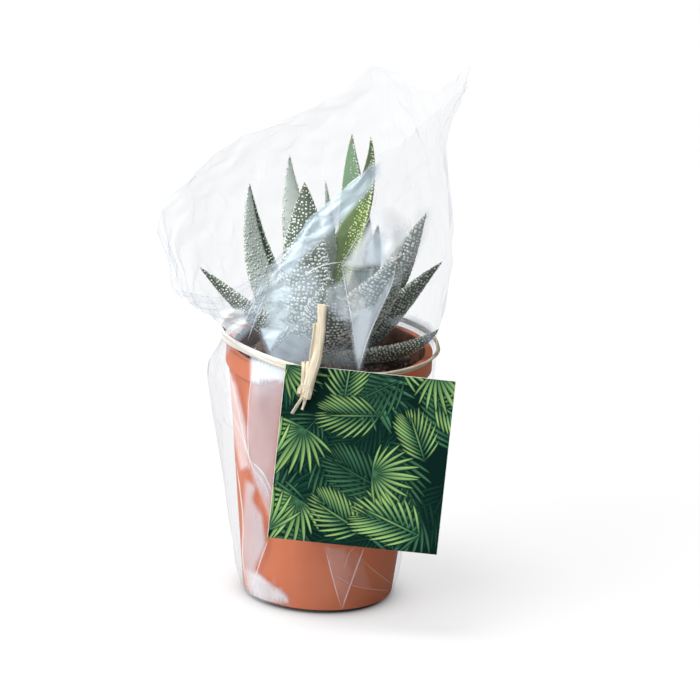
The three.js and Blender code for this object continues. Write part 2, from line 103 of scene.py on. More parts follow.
# ---- the view: 2.5 m away, 18.5 degrees above level, leaning 3 degrees ----
VIEW_DISTANCE = 2.5
VIEW_RISE = math.radians(18.5)
VIEW_LEAN = math.radians(3)
VIEW_TARGET = Vector((6 * MM, 0, 74.5 * MM))
VIEW_BACK = Vector((0, -math.cos(VIEW_RISE), math.sin(VIEW_RISE)))
PIXELS_PER_METRE = 3420  # at the target
PICTURE_SIZE = 700
PICTURE_MIDDLE = PICTURE_SIZE / 2
SENSOR_WIDTH = 36


# ---- making and shaping ----
def add_object(name, data):
    obj = bpy.data.objects.new(name, data)
    bpy.context.scene.collection.objects.link(obj)
    return obj


def deselect():
    bpy.ops.object.select_all(action="DESELECT")


def only(obj):
    deselect()
    obj.select_set(True)
    bpy.context.view_layer.objects.active = obj
    return obj


def read_points(obj):
    points = np.empty(len(obj.data.vertices) * 3)
    obj.data.vertices.foreach_get("co", points)
    return points.reshape(-1, 3)


def write_points(obj, points):
    obj.data.vertices.foreach_set("co", np.asarray(points, float).ravel())
    obj.data.update()


def apply_modifier(obj, kind, **settings):
    only(obj)
    modifier = obj.modifiers.new(kind.title(), kind)
    for key, value in settings.items():
        setattr(modifier, key, value)
    bpy.ops.object.modifier_apply(modifier=modifier.name)


def edit_whole(obj):
    only(obj)
    bpy.ops.object.mode_set(mode="EDIT")
    bpy.ops.mesh.select_all(action="SELECT")


def stop_editing():
    bpy.ops.object.mode_set(mode="OBJECT")


def outward_normals(obj):
    edit_whole(obj)
    bpy.ops.mesh.normals_make_consistent(inside=False)
    stop_editing()


def smooth(obj, degrees=180):
    only(obj)
    if degrees >= 180:
        bpy.ops.object.shade_smooth()
    else:
        bpy.ops.object.shade_smooth_by_angle(angle=math.radians(degrees))


def set_attribute(obj, name, values, kind="FLOAT"):
    layer = obj.data.attributes.new(name, kind, "POINT")
    field = "value" if kind == "FLOAT" else "color"
    layer.data.foreach_set(field, np.asarray(values, float).ravel())


def set_shares(obj, **shares):
    """Attributes for the materials, each a share for every point or one for all."""
    for name, values in shares.items():
        set_attribute(obj, name, np.full(len(obj.data.vertices), values, float))


def join(objects):
    only(objects[0])
    for obj in objects[1:]:
        obj.select_set(True)
    bpy.ops.object.join()
    return objects[0]


def finish_piece(obj, name, slot, *nodes):
    obj.name = obj.data.name = name
    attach(obj, "root")
    if nodes:
        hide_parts(*nodes)
    return obj


def lerp(a, b, t):
    return a + (b - a) * t


def smoothstep(x, low, high):
    t = np.clip((np.asarray(x, float) - low) / (high - low), 0, 1)
    return t * t * (3 - 2 * t)


def unit(vectors):
    return vectors / np.linalg.norm(vectors, axis=-1, keepdims=True)


def swept(segments, rings, surface, blunt=False):
    """A closed form from a sphere, whose rings are laid along a path.
    surface(u, angle, middle) gives each point, where middle is 0 at a pole and 1 on a ring."""
    deselect()
    bpy.ops.mesh.primitive_uv_sphere_add(segments=segments, ring_count=rings, radius=1)
    obj = bpy.context.object
    sphere = read_points(obj)
    step = np.round(np.arccos(np.clip(-sphere[:, 2], -1, 1)) / math.pi * rings)
    angle = np.arctan2(sphere[:, 1], sphere[:, 0])
    u = np.clip((step - 1) / (rings - (2 if blunt else 1)), 0, 1)
    middle = ((step > 0.5) & (step < rings - 0.5)).astype(float)
    write_points(obj, surface(u, angle, middle) * MM)
    return obj, u, angle


def spread(template, places, name):
    """One mesh that holds a copy of the template at each 4x4 place, in millimetres."""
    corners = read_points(template)
    faces = [list(p.vertices) for p in template.data.polygons]
    corners = np.hstack([corners, np.ones((len(corners), 1))])
    points = np.vstack([corners @ np.array(place).T[:, :3] for place in places]) * MM
    count = len(corners)
    every = [[i + k * count for i in face] for k in range(len(places)) for face in faces]
    mesh = bpy.data.meshes.new(name)
    mesh.from_pydata(points.tolist(), [], every)
    return add_object(name, mesh)


def discard(obj):
    bpy.data.objects.remove(obj)


# ---- the picture's own places, in pixels from its top left ----
def picture_places(points):
    """Where points of the object, in millimetres, show in the picture."""
    x, y, z = (np.asarray(points, float) * MM - np.array(VIEW_TARGET)).T
    up = y * math.sin(VIEW_RISE) + z * math.cos(VIEW_RISE)
    nearer = z * math.sin(VIEW_RISE) - y * math.cos(VIEW_RISE)
    scale = PIXELS_PER_METRE * VIEW_DISTANCE / (VIEW_DISTANCE - nearer)
    across = x * math.cos(VIEW_LEAN) + up * math.sin(VIEW_LEAN)
    above = up * math.cos(VIEW_LEAN) - x * math.sin(VIEW_LEAN)
    return PICTURE_MIDDLE + scale * across, PICTURE_MIDDLE - scale * above


def picture_ray(across, down):
    """The camera's place and the way from it to a place in the picture."""
    a, b = (across - PICTURE_MIDDLE) / PIXELS_PER_METRE, (PICTURE_MIDDLE - down) / PIXELS_PER_METRE
    x = a * math.cos(VIEW_LEAN) - b * math.sin(VIEW_LEAN)
    up = a * math.sin(VIEW_LEAN) + b * math.cos(VIEW_LEAN)
    start = VIEW_TARGET + VIEW_BACK * VIEW_DISTANCE
    end = VIEW_TARGET + Vector((x, up * math.sin(VIEW_RISE), up * math.cos(VIEW_RISE)))
    return start, (end - start).normalized()


# ---- materials ----
def material(name, **sockets):
    made = bpy.data.materials.new(name)
    made.use_nodes = True
    shader = made.node_tree.nodes["Principled BSDF"]
    for socket, value in sockets.items():
        shader.inputs[socket.replace("_", " ")].default_value = value
    return made, made.node_tree, shader


def node(tree, kind, settings=None, **inputs):
    made = tree.nodes.new("ShaderNode" + kind)
    for key, value in (settings or {}).items():
        setattr(made, key, value)
    for socket, value in inputs.items():
        numbered = socket[1:].isdigit()
        target = made.inputs[int(socket[1:]) if numbered else socket.replace("_", " ")]
        if isinstance(value, bpy.types.NodeSocket):
            tree.links.new(value, target)
        else:
            target.default_value = value
    return made


def remap(tree, value, from_min, from_max, to_min, to_max):
    ends = {"From_Min": from_min, "From_Max": from_max, "To_Min": to_min, "To_Max": to_max}
    return node(tree, "MapRange", Value=value, **ends).outputs[0]


def maths(tree, operation, a, b=0.0, clamp=False):
    return node(tree, "Math", {"operation": operation, "use_clamp": clamp}, i0=a, i1=b).outputs[0]


def times(tree, a, b, clamp=False):
    return maths(tree, "MULTIPLY", a, b, clamp)


def plus(tree, a, b):
    return maths(tree, "ADD", a, b)


def attribute(tree, name, output="Fac"):
    return node(tree, "Attribute", {"attribute_name": name}).outputs[output]


def noise_at(tree, scale, detail=3.0, stretch=None, roughness=0.5):
    """A noise in the object's own coordinates; stretch scales them first."""
    place = node(tree, "TexCoord").outputs["Object"]
    if stretch:
        place = node(tree, "Mapping", Vector=place, Scale=stretch).outputs[0]
    texture = node(tree, "TexNoise", Vector=place, Scale=scale, Detail=detail, Roughness=roughness)
    return texture.outputs["Fac"]


def ramp(tree, factor, *stops):
    made = node(tree, "ValToRGB", Fac=factor)
    elements = made.color_ramp.elements
    while len(elements) < len(stops):
        elements.new(0.5)
    for element, (position, colour) in zip(elements, stops):
        element.position = position
        element.color = (*colour, 1)
    return made.outputs["Color"]


def blend(tree, factor, a, b, kind="MIX"):
    settings = {"data_type": "RGBA", "blend_type": kind}
    made = node(tree, "Mix", settings)
    for socket, value in ((0, factor), (6, a), (7, b)):
        if isinstance(value, bpy.types.NodeSocket):
            tree.links.new(value, made.inputs[socket])
        elif socket == 0:
            made.inputs[socket].default_value = value
        else:
            made.inputs[socket].default_value = (*value, 1)
    return made.outputs[2]


def paint(tree, shader, colour):
    tree.links.new(colour, shader.inputs["Base Color"])


def bump(tree, shader, height, distance, strength=1.0):
    made = node(tree, "Bump", Height=height, Distance=distance, Strength=strength)
    tree.links.new(made.outputs[0], shader.inputs["Normal"])


def pot_plastic():
    made, tree, shader = material("pot_plastic", Roughness=0.45, Specular_IOR_Level=0.06)
    cloud = noise_at(tree, 60, 4)
    plain = ramp(tree, cloud, (0.3, (0.63, 0.176, 0.080)), (0.7, (0.72, 0.216, 0.100)))
    # The inside of the wall is coloured much darker than the outside.
    darker_inside = ramp(tree, noise_at(tree, 260, 5), (0.35, (0.10, 0.055, 0.04)), (0.65, (0.30, 0.14, 0.09)))
    paint(tree, shader, blend(tree, attribute(tree, "inside"), plain, darker_inside))
    bump(tree, shader, noise_at(tree, 900, 2), 0.00004, 0.35)
    return made


def potting_soil():
    made, tree, shader = material("potting_soil", Roughness=0.92, Specular_IOR_Level=0.25)
    grain = noise_at(tree, 420, 6, roughness=0.7)
    colours = (0.3, (0.055, 0.034, 0.025)), (0.5, (0.145, 0.092, 0.068)), (0.72, (0.29, 0.19, 0.145))
    paint(tree, shader, ramp(tree, grain, *colours))
    bump(tree, shader, noise_at(tree, 1400, 5, roughness=0.7), 0.0004, 0.7)
    return made


def perlite():
    made, tree, shader = material("perlite", Roughness=0.8)
    paint(tree, shader, ramp(tree, noise_at(tree, 900), (0.3, (0.62, 0.6, 0.55)), (0.7, (0.85, 0.84, 0.8))))
    return made


def leaf_skin(name, outer, inner, edge, end=(0.13, 0.085, 0.05)):
    """Waxy skin: outer and inner faces differ, and the margins and the foot are paler."""
    made, tree, shader = material(name, Roughness=0.4, Specular_IOR_Level=0.5)
    mottle = noise_at(tree, 260, 4)
    back = blend(tree, mottle, [0.72 * c for c in outer], [1.3 * c for c in outer])
    front = blend(tree, mottle, [0.8 * c for c in inner], [1.2 * c for c in inner])
    face = blend(tree, attribute(tree, "inner"), back, front)
    margin = times(tree, attribute(tree, "margin"), 0.6)
    face = blend(tree, margin, face, edge)
    foot = times(tree, attribute(tree, "foot"), 0.7)
    face = blend(tree, foot, face, (0.20, 0.26, 0.13))
    tip = attribute(tree, "tip")
    face = blend(tree, tip, face, end)
    paint(tree, shader, face)
    bump(tree, shader, noise_at(tree, 1500, 3), 0.00012, 0.5)
    return made


def pearl(name, dull, bright):
    made, tree, shader = material(name, Roughness=0.38, Specular_IOR_Level=0.5)
    paint(tree, shader, ramp(tree, noise_at(tree, 700), (0.32, dull), (0.6, bright)))
    return made


def raffia_straw():
    made, tree, shader = material("raffia_straw", Roughness=0.62, Specular_IOR_Level=0.35)
    uv = node(tree, "TexCoord").outputs["UV"]
    lengthwise = node(tree, "Mapping", Vector=uv, Scale=(26, 1.2, 1)).outputs[0]
    fibre = node(tree, "TexNoise", Vector=lengthwise, Scale=3.0, Detail=5.0).outputs["Fac"]
    colours = (0.30, (0.44, 0.32, 0.18)), (0.45, (0.74, 0.64, 0.46)), (0.62, (0.90, 0.84, 0.70))
    # The pale share is painted light: the strands go paler on the front left, where the lamps fall.
    pale = times(tree, attribute(tree, "pale"), 0.8)
    straw = blend(tree, pale, ramp(tree, fibre, *colours), (0.84, 0.83, 0.81))
    paint(tree, shader, straw)
    bump(tree, shader, fibre, 0.0002, 0.8)
    return made


def card_paper():
    made, tree, shader = material("card_paper", Roughness=0.7)
    grain = noise_at(tree, 1500, 4)
    paint(tree, shader, ramp(tree, grain, (0.3, (0.80, 0.80, 0.77)), (0.7, (0.87, 0.87, 0.85))))
    return made


def card_ink():
    made, tree, shader = material("card_ink", Roughness=0.55, Specular_IOR_Level=0.06)
    ink = attribute(tree, "ink", "Color")
    paper = blend(tree, noise_at(tree, 2500, 3), (0, 0, 0), (1, 1, 1))
    paint(tree, shader, blend(tree, 0.12, ink, paper, "OVERLAY"))
    return made


CRUMPLE_SCALE = 95.0
CRUMPLE_STRETCH = (1, 1, 0.22)
CRUMPLE_LINE = 0.016


def film_crumple(tree):
    """Fine creases and flat facets, mostly at the sleeve's sides and back."""
    place = node(tree, "TexCoord").outputs["Object"]
    upright = node(tree, "Mapping", Vector=place, Scale=CRUMPLE_STRETCH).outputs[0]
    edges = node(tree, "TexVoronoi", {"feature": "DISTANCE_TO_EDGE"}, Vector=upright, Scale=CRUMPLE_SCALE)
    line = remap(tree, edges.outputs["Distance"], 0.0, CRUMPLE_LINE, 0.4, 0.0)
    broken = times(tree, maths(tree, "SUBTRACT", noise_at(tree, 90, 2), 0.42, True), 1.6)
    shades = node(tree, "TexVoronoi", Vector=upright, Scale=CRUMPLE_SCALE).outputs["Color"]
    facet = times(tree, maths(tree, "SUBTRACT", shades, 0.45, True), 0.12)
    crumple = plus(tree, times(tree, line, broken), facet)
    return times(tree, crumple, attribute(tree, "crinkle"))


def clear_film():
    """Mostly see-through: it dims what is behind a little, more at its edges, and clouds where creased. Its
    clouding glows faintly and is white where lit and grey-blue where shaded: painted light and shade.
    """
    # The emission below is painted light: a faint glow standing in for light coming through the milky film.
    made, tree, shader = material(
        "clear_film",
        Roughness=0.5,
        Specular_IOR_Level=0.3,
        Emission_Color=(0.74, 0.90, 1, 1),
        Emission_Strength=0.12,
    )
    streaks = noise_at(tree, 60, 3, (1, 1, 0.16))
    facing = node(tree, "LayerWeight", Blend=0.3).outputs["Facing"]
    edge = times(tree, maths(tree, "POWER", facing, 2.2), attribute(tree, "edged"))
    streaky = plus(tree, times(tree, streaks, 1.1), 0.45)
    veil = times(tree, attribute(tree, "veil"), streaky)
    crease = times(tree, attribute(tree, "crease"), 0.42)
    haze = plus(tree, veil, plus(tree, crease, film_crumple(tree)))
    total = plus(tree, haze, times(tree, edge, 0.09))
    cover = maths(tree, "MINIMUM", total, 0.92)
    # The haze's colour is painted light and shade: grey-blue where it is shaded, white where it is lit.
    tones = (0.0, (0.40, 0.47, 0.56)), (0.7, (0.72, 0.84, 0.93)), (1.0, (0.97, 0.98, 1.0))
    tone = ramp(tree, attribute(tree, "tone"), *tones)
    paint(tree, shader, blend(tree, times(tree, haze, 4.0, True), (0.66, 0.70, 0.75), tone))
    bump(tree, shader, streaks, 0.0008, 0.25)
    clear = tree.nodes.new("ShaderNodeBsdfTransparent")
    dim = plus(tree, edge, times(tree, streaks, 0.16))
    shades = (0.03, (0.984, 0.986, 0.988)), (0.16, (0.972, 0.974, 0.978)), (1.0, (0.93, 0.935, 0.945))
    tree.links.new(ramp(tree, dim, *shades), clear.inputs["Color"])
    mixed = node(tree, "MixShader", Fac=cover)
    tree.links.new(clear.outputs[0], mixed.inputs[1])
    tree.links.new(shader.outputs[0], mixed.inputs[2])
    tree.links.new(mixed.outputs[0], tree.nodes["Material Output"].inputs["Surface"])
    return made


# ---- pot ----
def wall_radius(z):
    """The outside of the wall, without its lip."""
    share = (z - POT_BOTTOM_Z) / (POT_TOP_Z - POT_BOTTOM_Z)
    return lerp(POT_BASE_RADIUS, POT_SHOULDER_RADIUS, share)


def inner_radius(z):
    return wall_radius(z) - POT_WALL


def make_pot():
    """The wall is drawn up from the base, over the lip and down to the floor, ring by ring."""
    deselect()
    base = (POT_BASE_RADIUS - 0.5, POT_BOTTOM_Z)
    bpy.ops.mesh.primitive_circle_add(
        vertices=POT_SIDES, radius=base[0] * MM, fill_type="NGON", location=(0, 0, base[1] * MM)
    )
    pot = bpy.context.object
    bpy.ops.object.transform_apply(location=True)
    floor_z = POT_BOTTOM_Z + POT_FLOOR
    rings = [
        (POT_BASE_RADIUS - 0.12, POT_BOTTOM_Z + 0.12),
        (POT_BASE_RADIUS, POT_BOTTOM_Z + 0.5),
        (POT_SHOULDER_RADIUS, SHOULDER_Z - POT_STEP),
        (POT_SHOULDER_RADIUS + 0.25, SHOULDER_Z - 0.3),
        (POT_LIP_RADIUS - 0.2, SHOULDER_Z + 0.3),
        (POT_LIP_RADIUS, SHOULDER_Z + POT_STEP),
        (POT_LIP_RADIUS, POT_TOP_Z - 0.5),
        (POT_LIP_RADIUS - 0.15, POT_TOP_Z - 0.15),
        (POT_LIP_RADIUS - 0.5, POT_TOP_Z),
        (inner_radius(POT_TOP_Z) + 0.3, POT_TOP_Z),
        (inner_radius(POT_TOP_Z) + 0.02, POT_TOP_Z - 0.4),
        (inner_radius(POT_TOP_Z - 2), POT_TOP_Z - 2),
        (inner_radius(floor_z), floor_z),
    ]
    edit_whole(pot)
    radius, height = base
    for next_radius, z in rings:
        bpy.ops.mesh.extrude_region_move(TRANSFORM_OT_translate={"value": (0, 0, (z - height) * MM)})
        scale = next_radius / radius
        bpy.ops.transform.resize(value=(scale, scale, 1), center_override=(0, 0, z * MM))
        radius, height = next_radius, z
    stop_editing()
    outward_normals(pot)
    drains = []
    for i in range(DRAIN_COUNT):
        angle = (i + 0.5) / DRAIN_COUNT * TURN
        x, y = DRAIN_RING_RADIUS * math.cos(angle), DRAIN_RING_RADIUS * math.sin(angle)
        place = (x * MM, y * MM, POT_BOTTOM_Z * MM)
        deselect()
        bpy.ops.mesh.primitive_cylinder_add(
            vertices=32, radius=DRAIN_RADIUS * MM, depth=4 * POT_FLOOR * MM, location=place
        )
        drains.append(bpy.context.object)
    cutter = join(drains)
    apply_modifier(pot, "BOOLEAN", operation="DIFFERENCE", object=cutter)
    discard(cutter)
    smooth(pot, 32)
    x, y, z = read_points(pot).T / MM
    set_shares(pot, inside=np.hypot(x, y) < inner_radius(z) + 0.1)
    pot.data.materials.append(pot_plastic())
    return finish_piece(pot, "pot_moulded", "pot_plastic", "pot")


# ---- soil ----
# smallest and largest radius, count, and which of the soil's materials
CRUMBS = [(0.35, 1.0, 520, 0), (1.0, 1.9, 70, 0), (0.5, 0.9, 14, 1)]


def soil_height(x, y):
    lumps = noise.fractal(Vector((x / SOIL_LUMP_WIDTH, y / SOIL_LUMP_WIDTH, 3.1)), 0.9, 2.1, 4)
    return SOIL_TOP_Z + SOIL_CROWN * (1 - math.hypot(x, y) / 27) + SOIL_LUMP_HEIGHT * lumps


def make_soil():
    deselect()
    bpy.ops.mesh.primitive_uv_sphere_add(segments=120, ring_count=96, radius=1)
    soil = bpy.context.object
    sphere = read_points(soil)
    polar = np.arccos(np.clip(sphere[:, 2], -1, 1)) / (math.pi / 2)
    angle = np.arctan2(sphere[:, 1], sphere[:, 0])
    radius = SOIL_RADIUS * np.where(polar <= 1, polar, 2 - polar)
    x, y = radius * np.cos(angle), radius * np.sin(angle)
    top = np.array([soil_height(a, b) for a, b in zip(x, y)])
    z = np.where(polar <= 1.001, top, SOIL_TOP_Z - SOIL_DEPTH)
    write_points(soil, np.column_stack([x, y, z]) * MM)
    smooth(soil)
    soil.data.materials.append(potting_soil())
    soil.data.materials.append(perlite())
    deselect()
    bpy.ops.mesh.primitive_ico_sphere_add(subdivisions=2, radius=1)
    crumb = bpy.context.object
    rng = np.random.default_rng(11)
    write_points(crumb, read_points(crumb) * (1 + 0.22 * rng.standard_normal((42, 1))))
    crumbs = []
    for size_low, size_high, count, stuff in CRUMBS:
        places = []
        for _ in range(count):
            away, angle = SOIL_RADIUS * 0.97 * math.sqrt(rng.random()), TURN * rng.random()
            x, y = away * math.cos(angle), away * math.sin(angle)
            size = rng.uniform(size_low, size_high)
            turned = Quaternion(rng.standard_normal(4)).normalized().to_matrix().to_4x4()
            squash = Matrix.Diagonal((size, size * rng.uniform(0.6, 1), size * rng.uniform(0.5, 0.9), 1))
            places.append(Matrix.Translation((x, y, soil_height(x, y) + 0.25 * size)) @ turned @ squash)
        pile = spread(crumb, places, "crumbs")
        pile.data.materials.append(soil.data.materials[stuff])
        smooth(pile)
        crumbs.append(pile)
    discard(crumb)
    return finish_piece(join([soil, *crumbs]), "soil_surface", "potting_soil", "soil")


# ---- leaves ----
# name, azimuth, root height, tip, slope at the stem, slope at the tip, width, depth, roll, skin
LEAVES = [
    ("leaf_tall_right", 35, 78, (8.7, 4, 138.9), 102, 98, 13, 3, 0, "young"),
    ("leaf_tall_back", 36, 77.5, (3.3, 13, 136.6), 56, 90, 18.8, 3.2, 0, "fresh"),
    ("leaf_heart_left", 118, 77.5, (-3.8, 9, 123.3), 88, 60, 5, 2.4, 0, "pale"),
    ("leaf_heart_front", 285, 77.5, (3, -8, 100), 62, 84, 7, 2.4, 0, "young"),
    ("leaf_front_left", 231, 77, (-9.7, -7, 127.4), 34, 81, 18.6, 4.2, 8, "mature"),
    ("leaf_front_right", 299, 76.5, (18.8, -17, 108.5), 40, 60, 20, 4.2, 0, "mature"),
    ("leaf_mid_right", 50, 76, (12.3, 14, 109), 40, 85, 11, 3.2, 0, "mature"),
    ("leaf_back_left", 122, 75.5, (-14.7, 22, 126.4), 48, 84, 12, 3.2, 0, "painted_haze_tipped"),
    ("leaf_right", 338, 75.5, (26.1, -3, 118.8), 42, 66, 13, 3.6, -40, "mature"),
    ("leaf_left", 150, 75, (-25.8, 12, 120.2), 4, 87, 12.6, 3.4, -22, "painted_haze"),
    ("leaf_front", 253, 75, (-0.4, -19, 103.4), 30, 82, 16.5, 3.6, 0, "mature"),
    ("leaf_back", 88, 74.5, (4, 27, 112), 24, 68, 13, 3.4, 0, "mature"),
    ("leaf_low_right", 352, 75, (31.4, -5, 104.7), 24, 43, 14.5, 3.6, -30, "mature"),
    ("leaf_low_left", 192, 75, (-39, -3, 98.6), 12, 38, 13.6, 3.6, 25, "mature"),
    ("leaf_low_front_right", 324, 75, (31.4, -8.5, 85.2), 6, 48, 14, 3.4, -15, "mature"),
    ("leaf_low_back_left", 118, 74, (-14, 27, 98), 14, 52, 12, 3.2, 0, "mature"),
    ("leaf_low_back_right", 52, 74, (21, 23, 96), 14, 50, 12, 3.2, 0, "mature"),
]
# colours of the outer face, the inner face, the margins and, for some, the tip
LEAF_SKINS = {
    "mature": ((0.086, 0.115, 0.082), (0.165, 0.21, 0.155), (0.20, 0.23, 0.175)),
    "pale": ((0.12, 0.15, 0.118), (0.36, 0.42, 0.37), (0.38, 0.42, 0.36)),
    # The painted_haze skins' pale inner faces are painted light: they carry the white haze of the film in
    # front of these leaves.
    "painted_haze": ((0.07, 0.10, 0.075), (0.72, 0.79, 0.78), (0.60, 0.67, 0.62)),
    "painted_haze_tipped": ((0.12, 0.16, 0.12), (0.76, 0.83, 0.81), (0.66, 0.73, 0.69), (0.50, 0.55, 0.50)),
    "fresh": ((0.06, 0.105, 0.06), (0.165, 0.28, 0.16), (0.19, 0.29, 0.16)),
    "young": ((0.15, 0.25, 0.03), (0.100, 0.172, 0.020), (0.30, 0.42, 0.10), (0.055, 0.085, 0.05)),
}
# dots on the inner face: their share, and the part of its breadth that they start and end at
INNER_DOTS = {
    "leaf_tall_back": (0.75, 0.5, 1), "leaf_left": (0.75, 0, 1), "leaf_back_left": (0.2, 0, 1),
    "leaf_heart_left": (0.5, 0.3, 1), "leaf_mid_right": (0.95, 0, 1), "leaf_right": (0.95, 0, 1),
    "leaf_tall_right": (0.95, 0.46, 1),
}
PLAIN_INNER_DOTS = (0.05, 0, 1)
FOLDED_MARGIN = {"leaf_left": 1.7}  # the back's dark skin comes round this margin
YOUNG_LEAF = "leaf_tall_right"  # the leaf named apart from the others in its finish_piece call
LEAF_SEGMENTS = 32
LEAF_RINGS = 56
LEAF_WIDEST = 0.27
LEAF_HANDLES = (0.38, 0.36)  # of its curve at root and tip, as shares of its reach
# how long each keeps its breadth towards the tip
FULLNESS = {"leaf_front_left": 2.3, "leaf_front_right": 2.5}
PLAIN_FULLNESS = 1.9
# how much broader the lower part is
BROAD_FOOT = {"leaf_front_left": 0.5, "leaf_front_right": 0.3, "leaf_low_right": 0.3, "leaf_low_left": 0.35}
BROWN_TIP = (0.95, 1)  # where the tip's own colour starts and is full
YOUNG_TIP = (0.6, 0.8)
DOT_SPACING = 0.92
DOT_RADIUS = 0.31
# how much wider apart its dots are, and how much bigger
BOLD_DOTS = {
    "leaf_front_right": (1.2, 1.45), "leaf_front_left": (1.1, 1.3), "leaf_front": (1.15, 1.35),
    "leaf_right": (1, 1.35), "leaf_left": (1, 1.2),
}


def leaf_breadth(u, name):
    low = lerp(0.62, 1, np.sin(np.clip(u / LEAF_WIDEST, 0, 1) * math.pi / 2))
    high = 1 - np.clip((u - LEAF_WIDEST) / (1 - LEAF_WIDEST), 0, 1) ** FULLNESS.get(name, PLAIN_FULLNESS)
    broader = 1 + BROAD_FOOT.get(name, 0) * (1 - smoothstep(u, 0.2, 0.55))
    return np.where(u < LEAF_WIDEST, low, high) * broader


def sloped(way, degrees):
    """A level direction, turned up by some degrees."""
    return way * math.cos(math.radians(degrees)) + [0, 0, math.sin(math.radians(degrees))]


def leaf_shape(leaf):
    """A function that gives the leaf's surface points for shares of its length and angles round it."""
    name, azimuth, root_z, tip, leave, arrive, width, depth, roll, _ = leaf
    azimuth = math.radians(azimuth)
    outward = np.array([math.cos(azimuth), math.sin(azimuth), 0])
    root = outward * 0.35 * STEM_RADIUS + [0, 0, root_z]
    tip = np.array(tip, float)
    reach = np.linalg.norm(tip - root)
    tip_way = unit((tip - root) * [1, 1, 0])
    low_handle = root + sloped(outward, leave) * LEAF_HANDLES[0] * reach
    high_handle = tip - sloped(tip_way, arrive) * LEAF_HANDLES[1] * reach
    side = np.array([-math.sin(azimuth), math.cos(azimuth), 0])

    def shape(u, angle, middle=1.0, raised=0.0):
        v = u[:, None]
        a, b, c, d = root, low_handle, high_handle, tip
        centre = (1 - v) ** 3 * a + 3 * (1 - v) ** 2 * v * b + 3 * (1 - v) * v**2 * c + v**3 * d
        tangent = unit(3 * (1 - v) ** 2 * (b - a) + 6 * (1 - v) * v * (c - b) + 3 * v**2 * (d - c))
        across = unit(side - tangent * (tangent @ side)[:, None])
        turned = np.radians(roll) * smoothstep(u, 0, 0.5)[:, None]
        across = across * np.cos(turned) + np.cross(tangent, across) * np.sin(turned)
        inner = -np.cross(across, tangent)
        x, y = np.cos(angle), np.sin(angle)
        breadth = leaf_breadth(u, name)
        half = width / 2 * breadth
        over = depth * lerp(0.02, 0.5, u) * breadth
        under = depth * breadth**0.75
        height = np.where(y > 0, over * y, under * y * (1 - 0.25 * np.abs(x)))
        height = height + 0.2 * half * (1 - u) * x * x
        wide = (half * x + raised * x) * middle
        deep = (height + raised * y) * middle
        return centre + across * wide[:, None] + inner * deep[:, None]

    return shape, reach


def leaf_dots(leaf, shape, reach, rng):
    """Places for the pearly dots: staggered rows over the outer face, fewer over the inner one."""
    width = leaf[6]
    apart, bold = BOLD_DOTS.get(leaf[0], (1, 1))
    inner_share, inner_from, inner_to = INNER_DOTS.get(leaf[0], PLAIN_INNER_DOTS)
    places = []
    rows = int(reach / DOT_SPACING / apart)
    for row in range(2, rows):
        u = row / rows
        breadth = float(leaf_breadth(np.array([u]), leaf[0])[0]) * width
        count = max(3, int(1.3 * breadth / DOT_SPACING / apart))
        for k in range(count):
            for face in (1, 0):
                share = (k + 0.5 * (row % 2) + 0.25) / count + rng.uniform(-0.24, 0.24) / count
                spot = min(u + rng.uniform(-0.3, 0.3) / rows, 0.985)
                size = bold * DOT_RADIUS * rng.uniform(0.65, 1.25) * (0.62 + 0.38 * breadth / width)
                if face or (inner_from <= share <= inner_to and rng.random() < inner_share):
                    places.append((spot, math.pi * (face + share), size * (1 if face else 0.85)))
        for margin in (rng.uniform(-0.1, 0.5), math.pi - rng.uniform(-0.1, 0.5)):
            if rng.random() < 0.8:
                spot = min(u + rng.uniform(-0.3, 0.3) / rows, 0.985)
                places.append((spot, margin, DOT_RADIUS * rng.uniform(0.6, 1.0)))
    u, angle, size = (np.array(column) for column in zip(*places))
    at = shape(u, angle)
    along = unit(shape(np.minimum(u + 0.01, 1), angle) - shape(u - 0.01, angle))
    round_way = unit(shape(u, angle + 0.06) - shape(u, angle - 0.06))
    out = unit(np.cross(round_way, along))
    frames = []
    stretch = rng.uniform(0.9, 1.6, len(size))
    for place, a, b, c, s, longer in zip(at, round_way, along, out, size, stretch):
        matrix = Matrix.Identity(4)
        for axis, (way, scale) in enumerate(((a, longer * s), (b, s), (c, 0.62 * s))):
            for i in range(3):
                matrix[i][axis] = way[i] * scale
        matrix.translation = Vector(place)
        frames.append(matrix)
    return frames


def make_leaves():
    white_pearl = pearl("pearl_tubercle", (0.32, 0.38, 0.31), (0.78, 0.82, 0.77))
    lime_pearl = pearl("lime_tubercle", (0.36, 0.50, 0.14), (0.72, 0.82, 0.46))
    skins = {skin: leaf_skin("leaf_skin_" + skin, *colours) for skin, colours in LEAF_SKINS.items()}
    deselect()
    bpy.ops.mesh.primitive_uv_sphere_add(segments=8, ring_count=5, radius=1)
    dot = bpy.context.object
    rng = np.random.default_rng(23)
    for leaf in LEAVES:
        name, skin = leaf[0], leaf[-1]
        shape, reach = leaf_shape(leaf)
        blade, u, angle = swept(LEAF_SEGMENTS, LEAF_RINGS, shape)
        folded = FOLDED_MARGIN.get(name, 0) * np.clip(-np.cos(angle), 0, 1)
        set_shares(
            blade,
            inner=smoothstep(np.sin(angle) - folded, -0.05, 0.3),
            margin=smoothstep(np.abs(np.cos(angle)), 0.8, 0.98),
            foot=1 - smoothstep(u, 0.05, 0.3),
            tip=smoothstep(u, *(YOUNG_TIP if skin == "young" else BROWN_TIP)),
        )
        outward_normals(blade)
        blade.data.materials.append(skins[skin])
        dots = spread(dot, leaf_dots(leaf, shape, reach, rng), "dots")
        dots.data.materials.append(lime_pearl if skin == "young" else white_pearl)
        outward_normals(dots)
        blade = join([blade, dots])
        smooth(blade)
        finish_piece(blade, name + "_spotted", "young_leaf" if name == YOUNG_LEAF else "leaf", name)
    discard(dot)


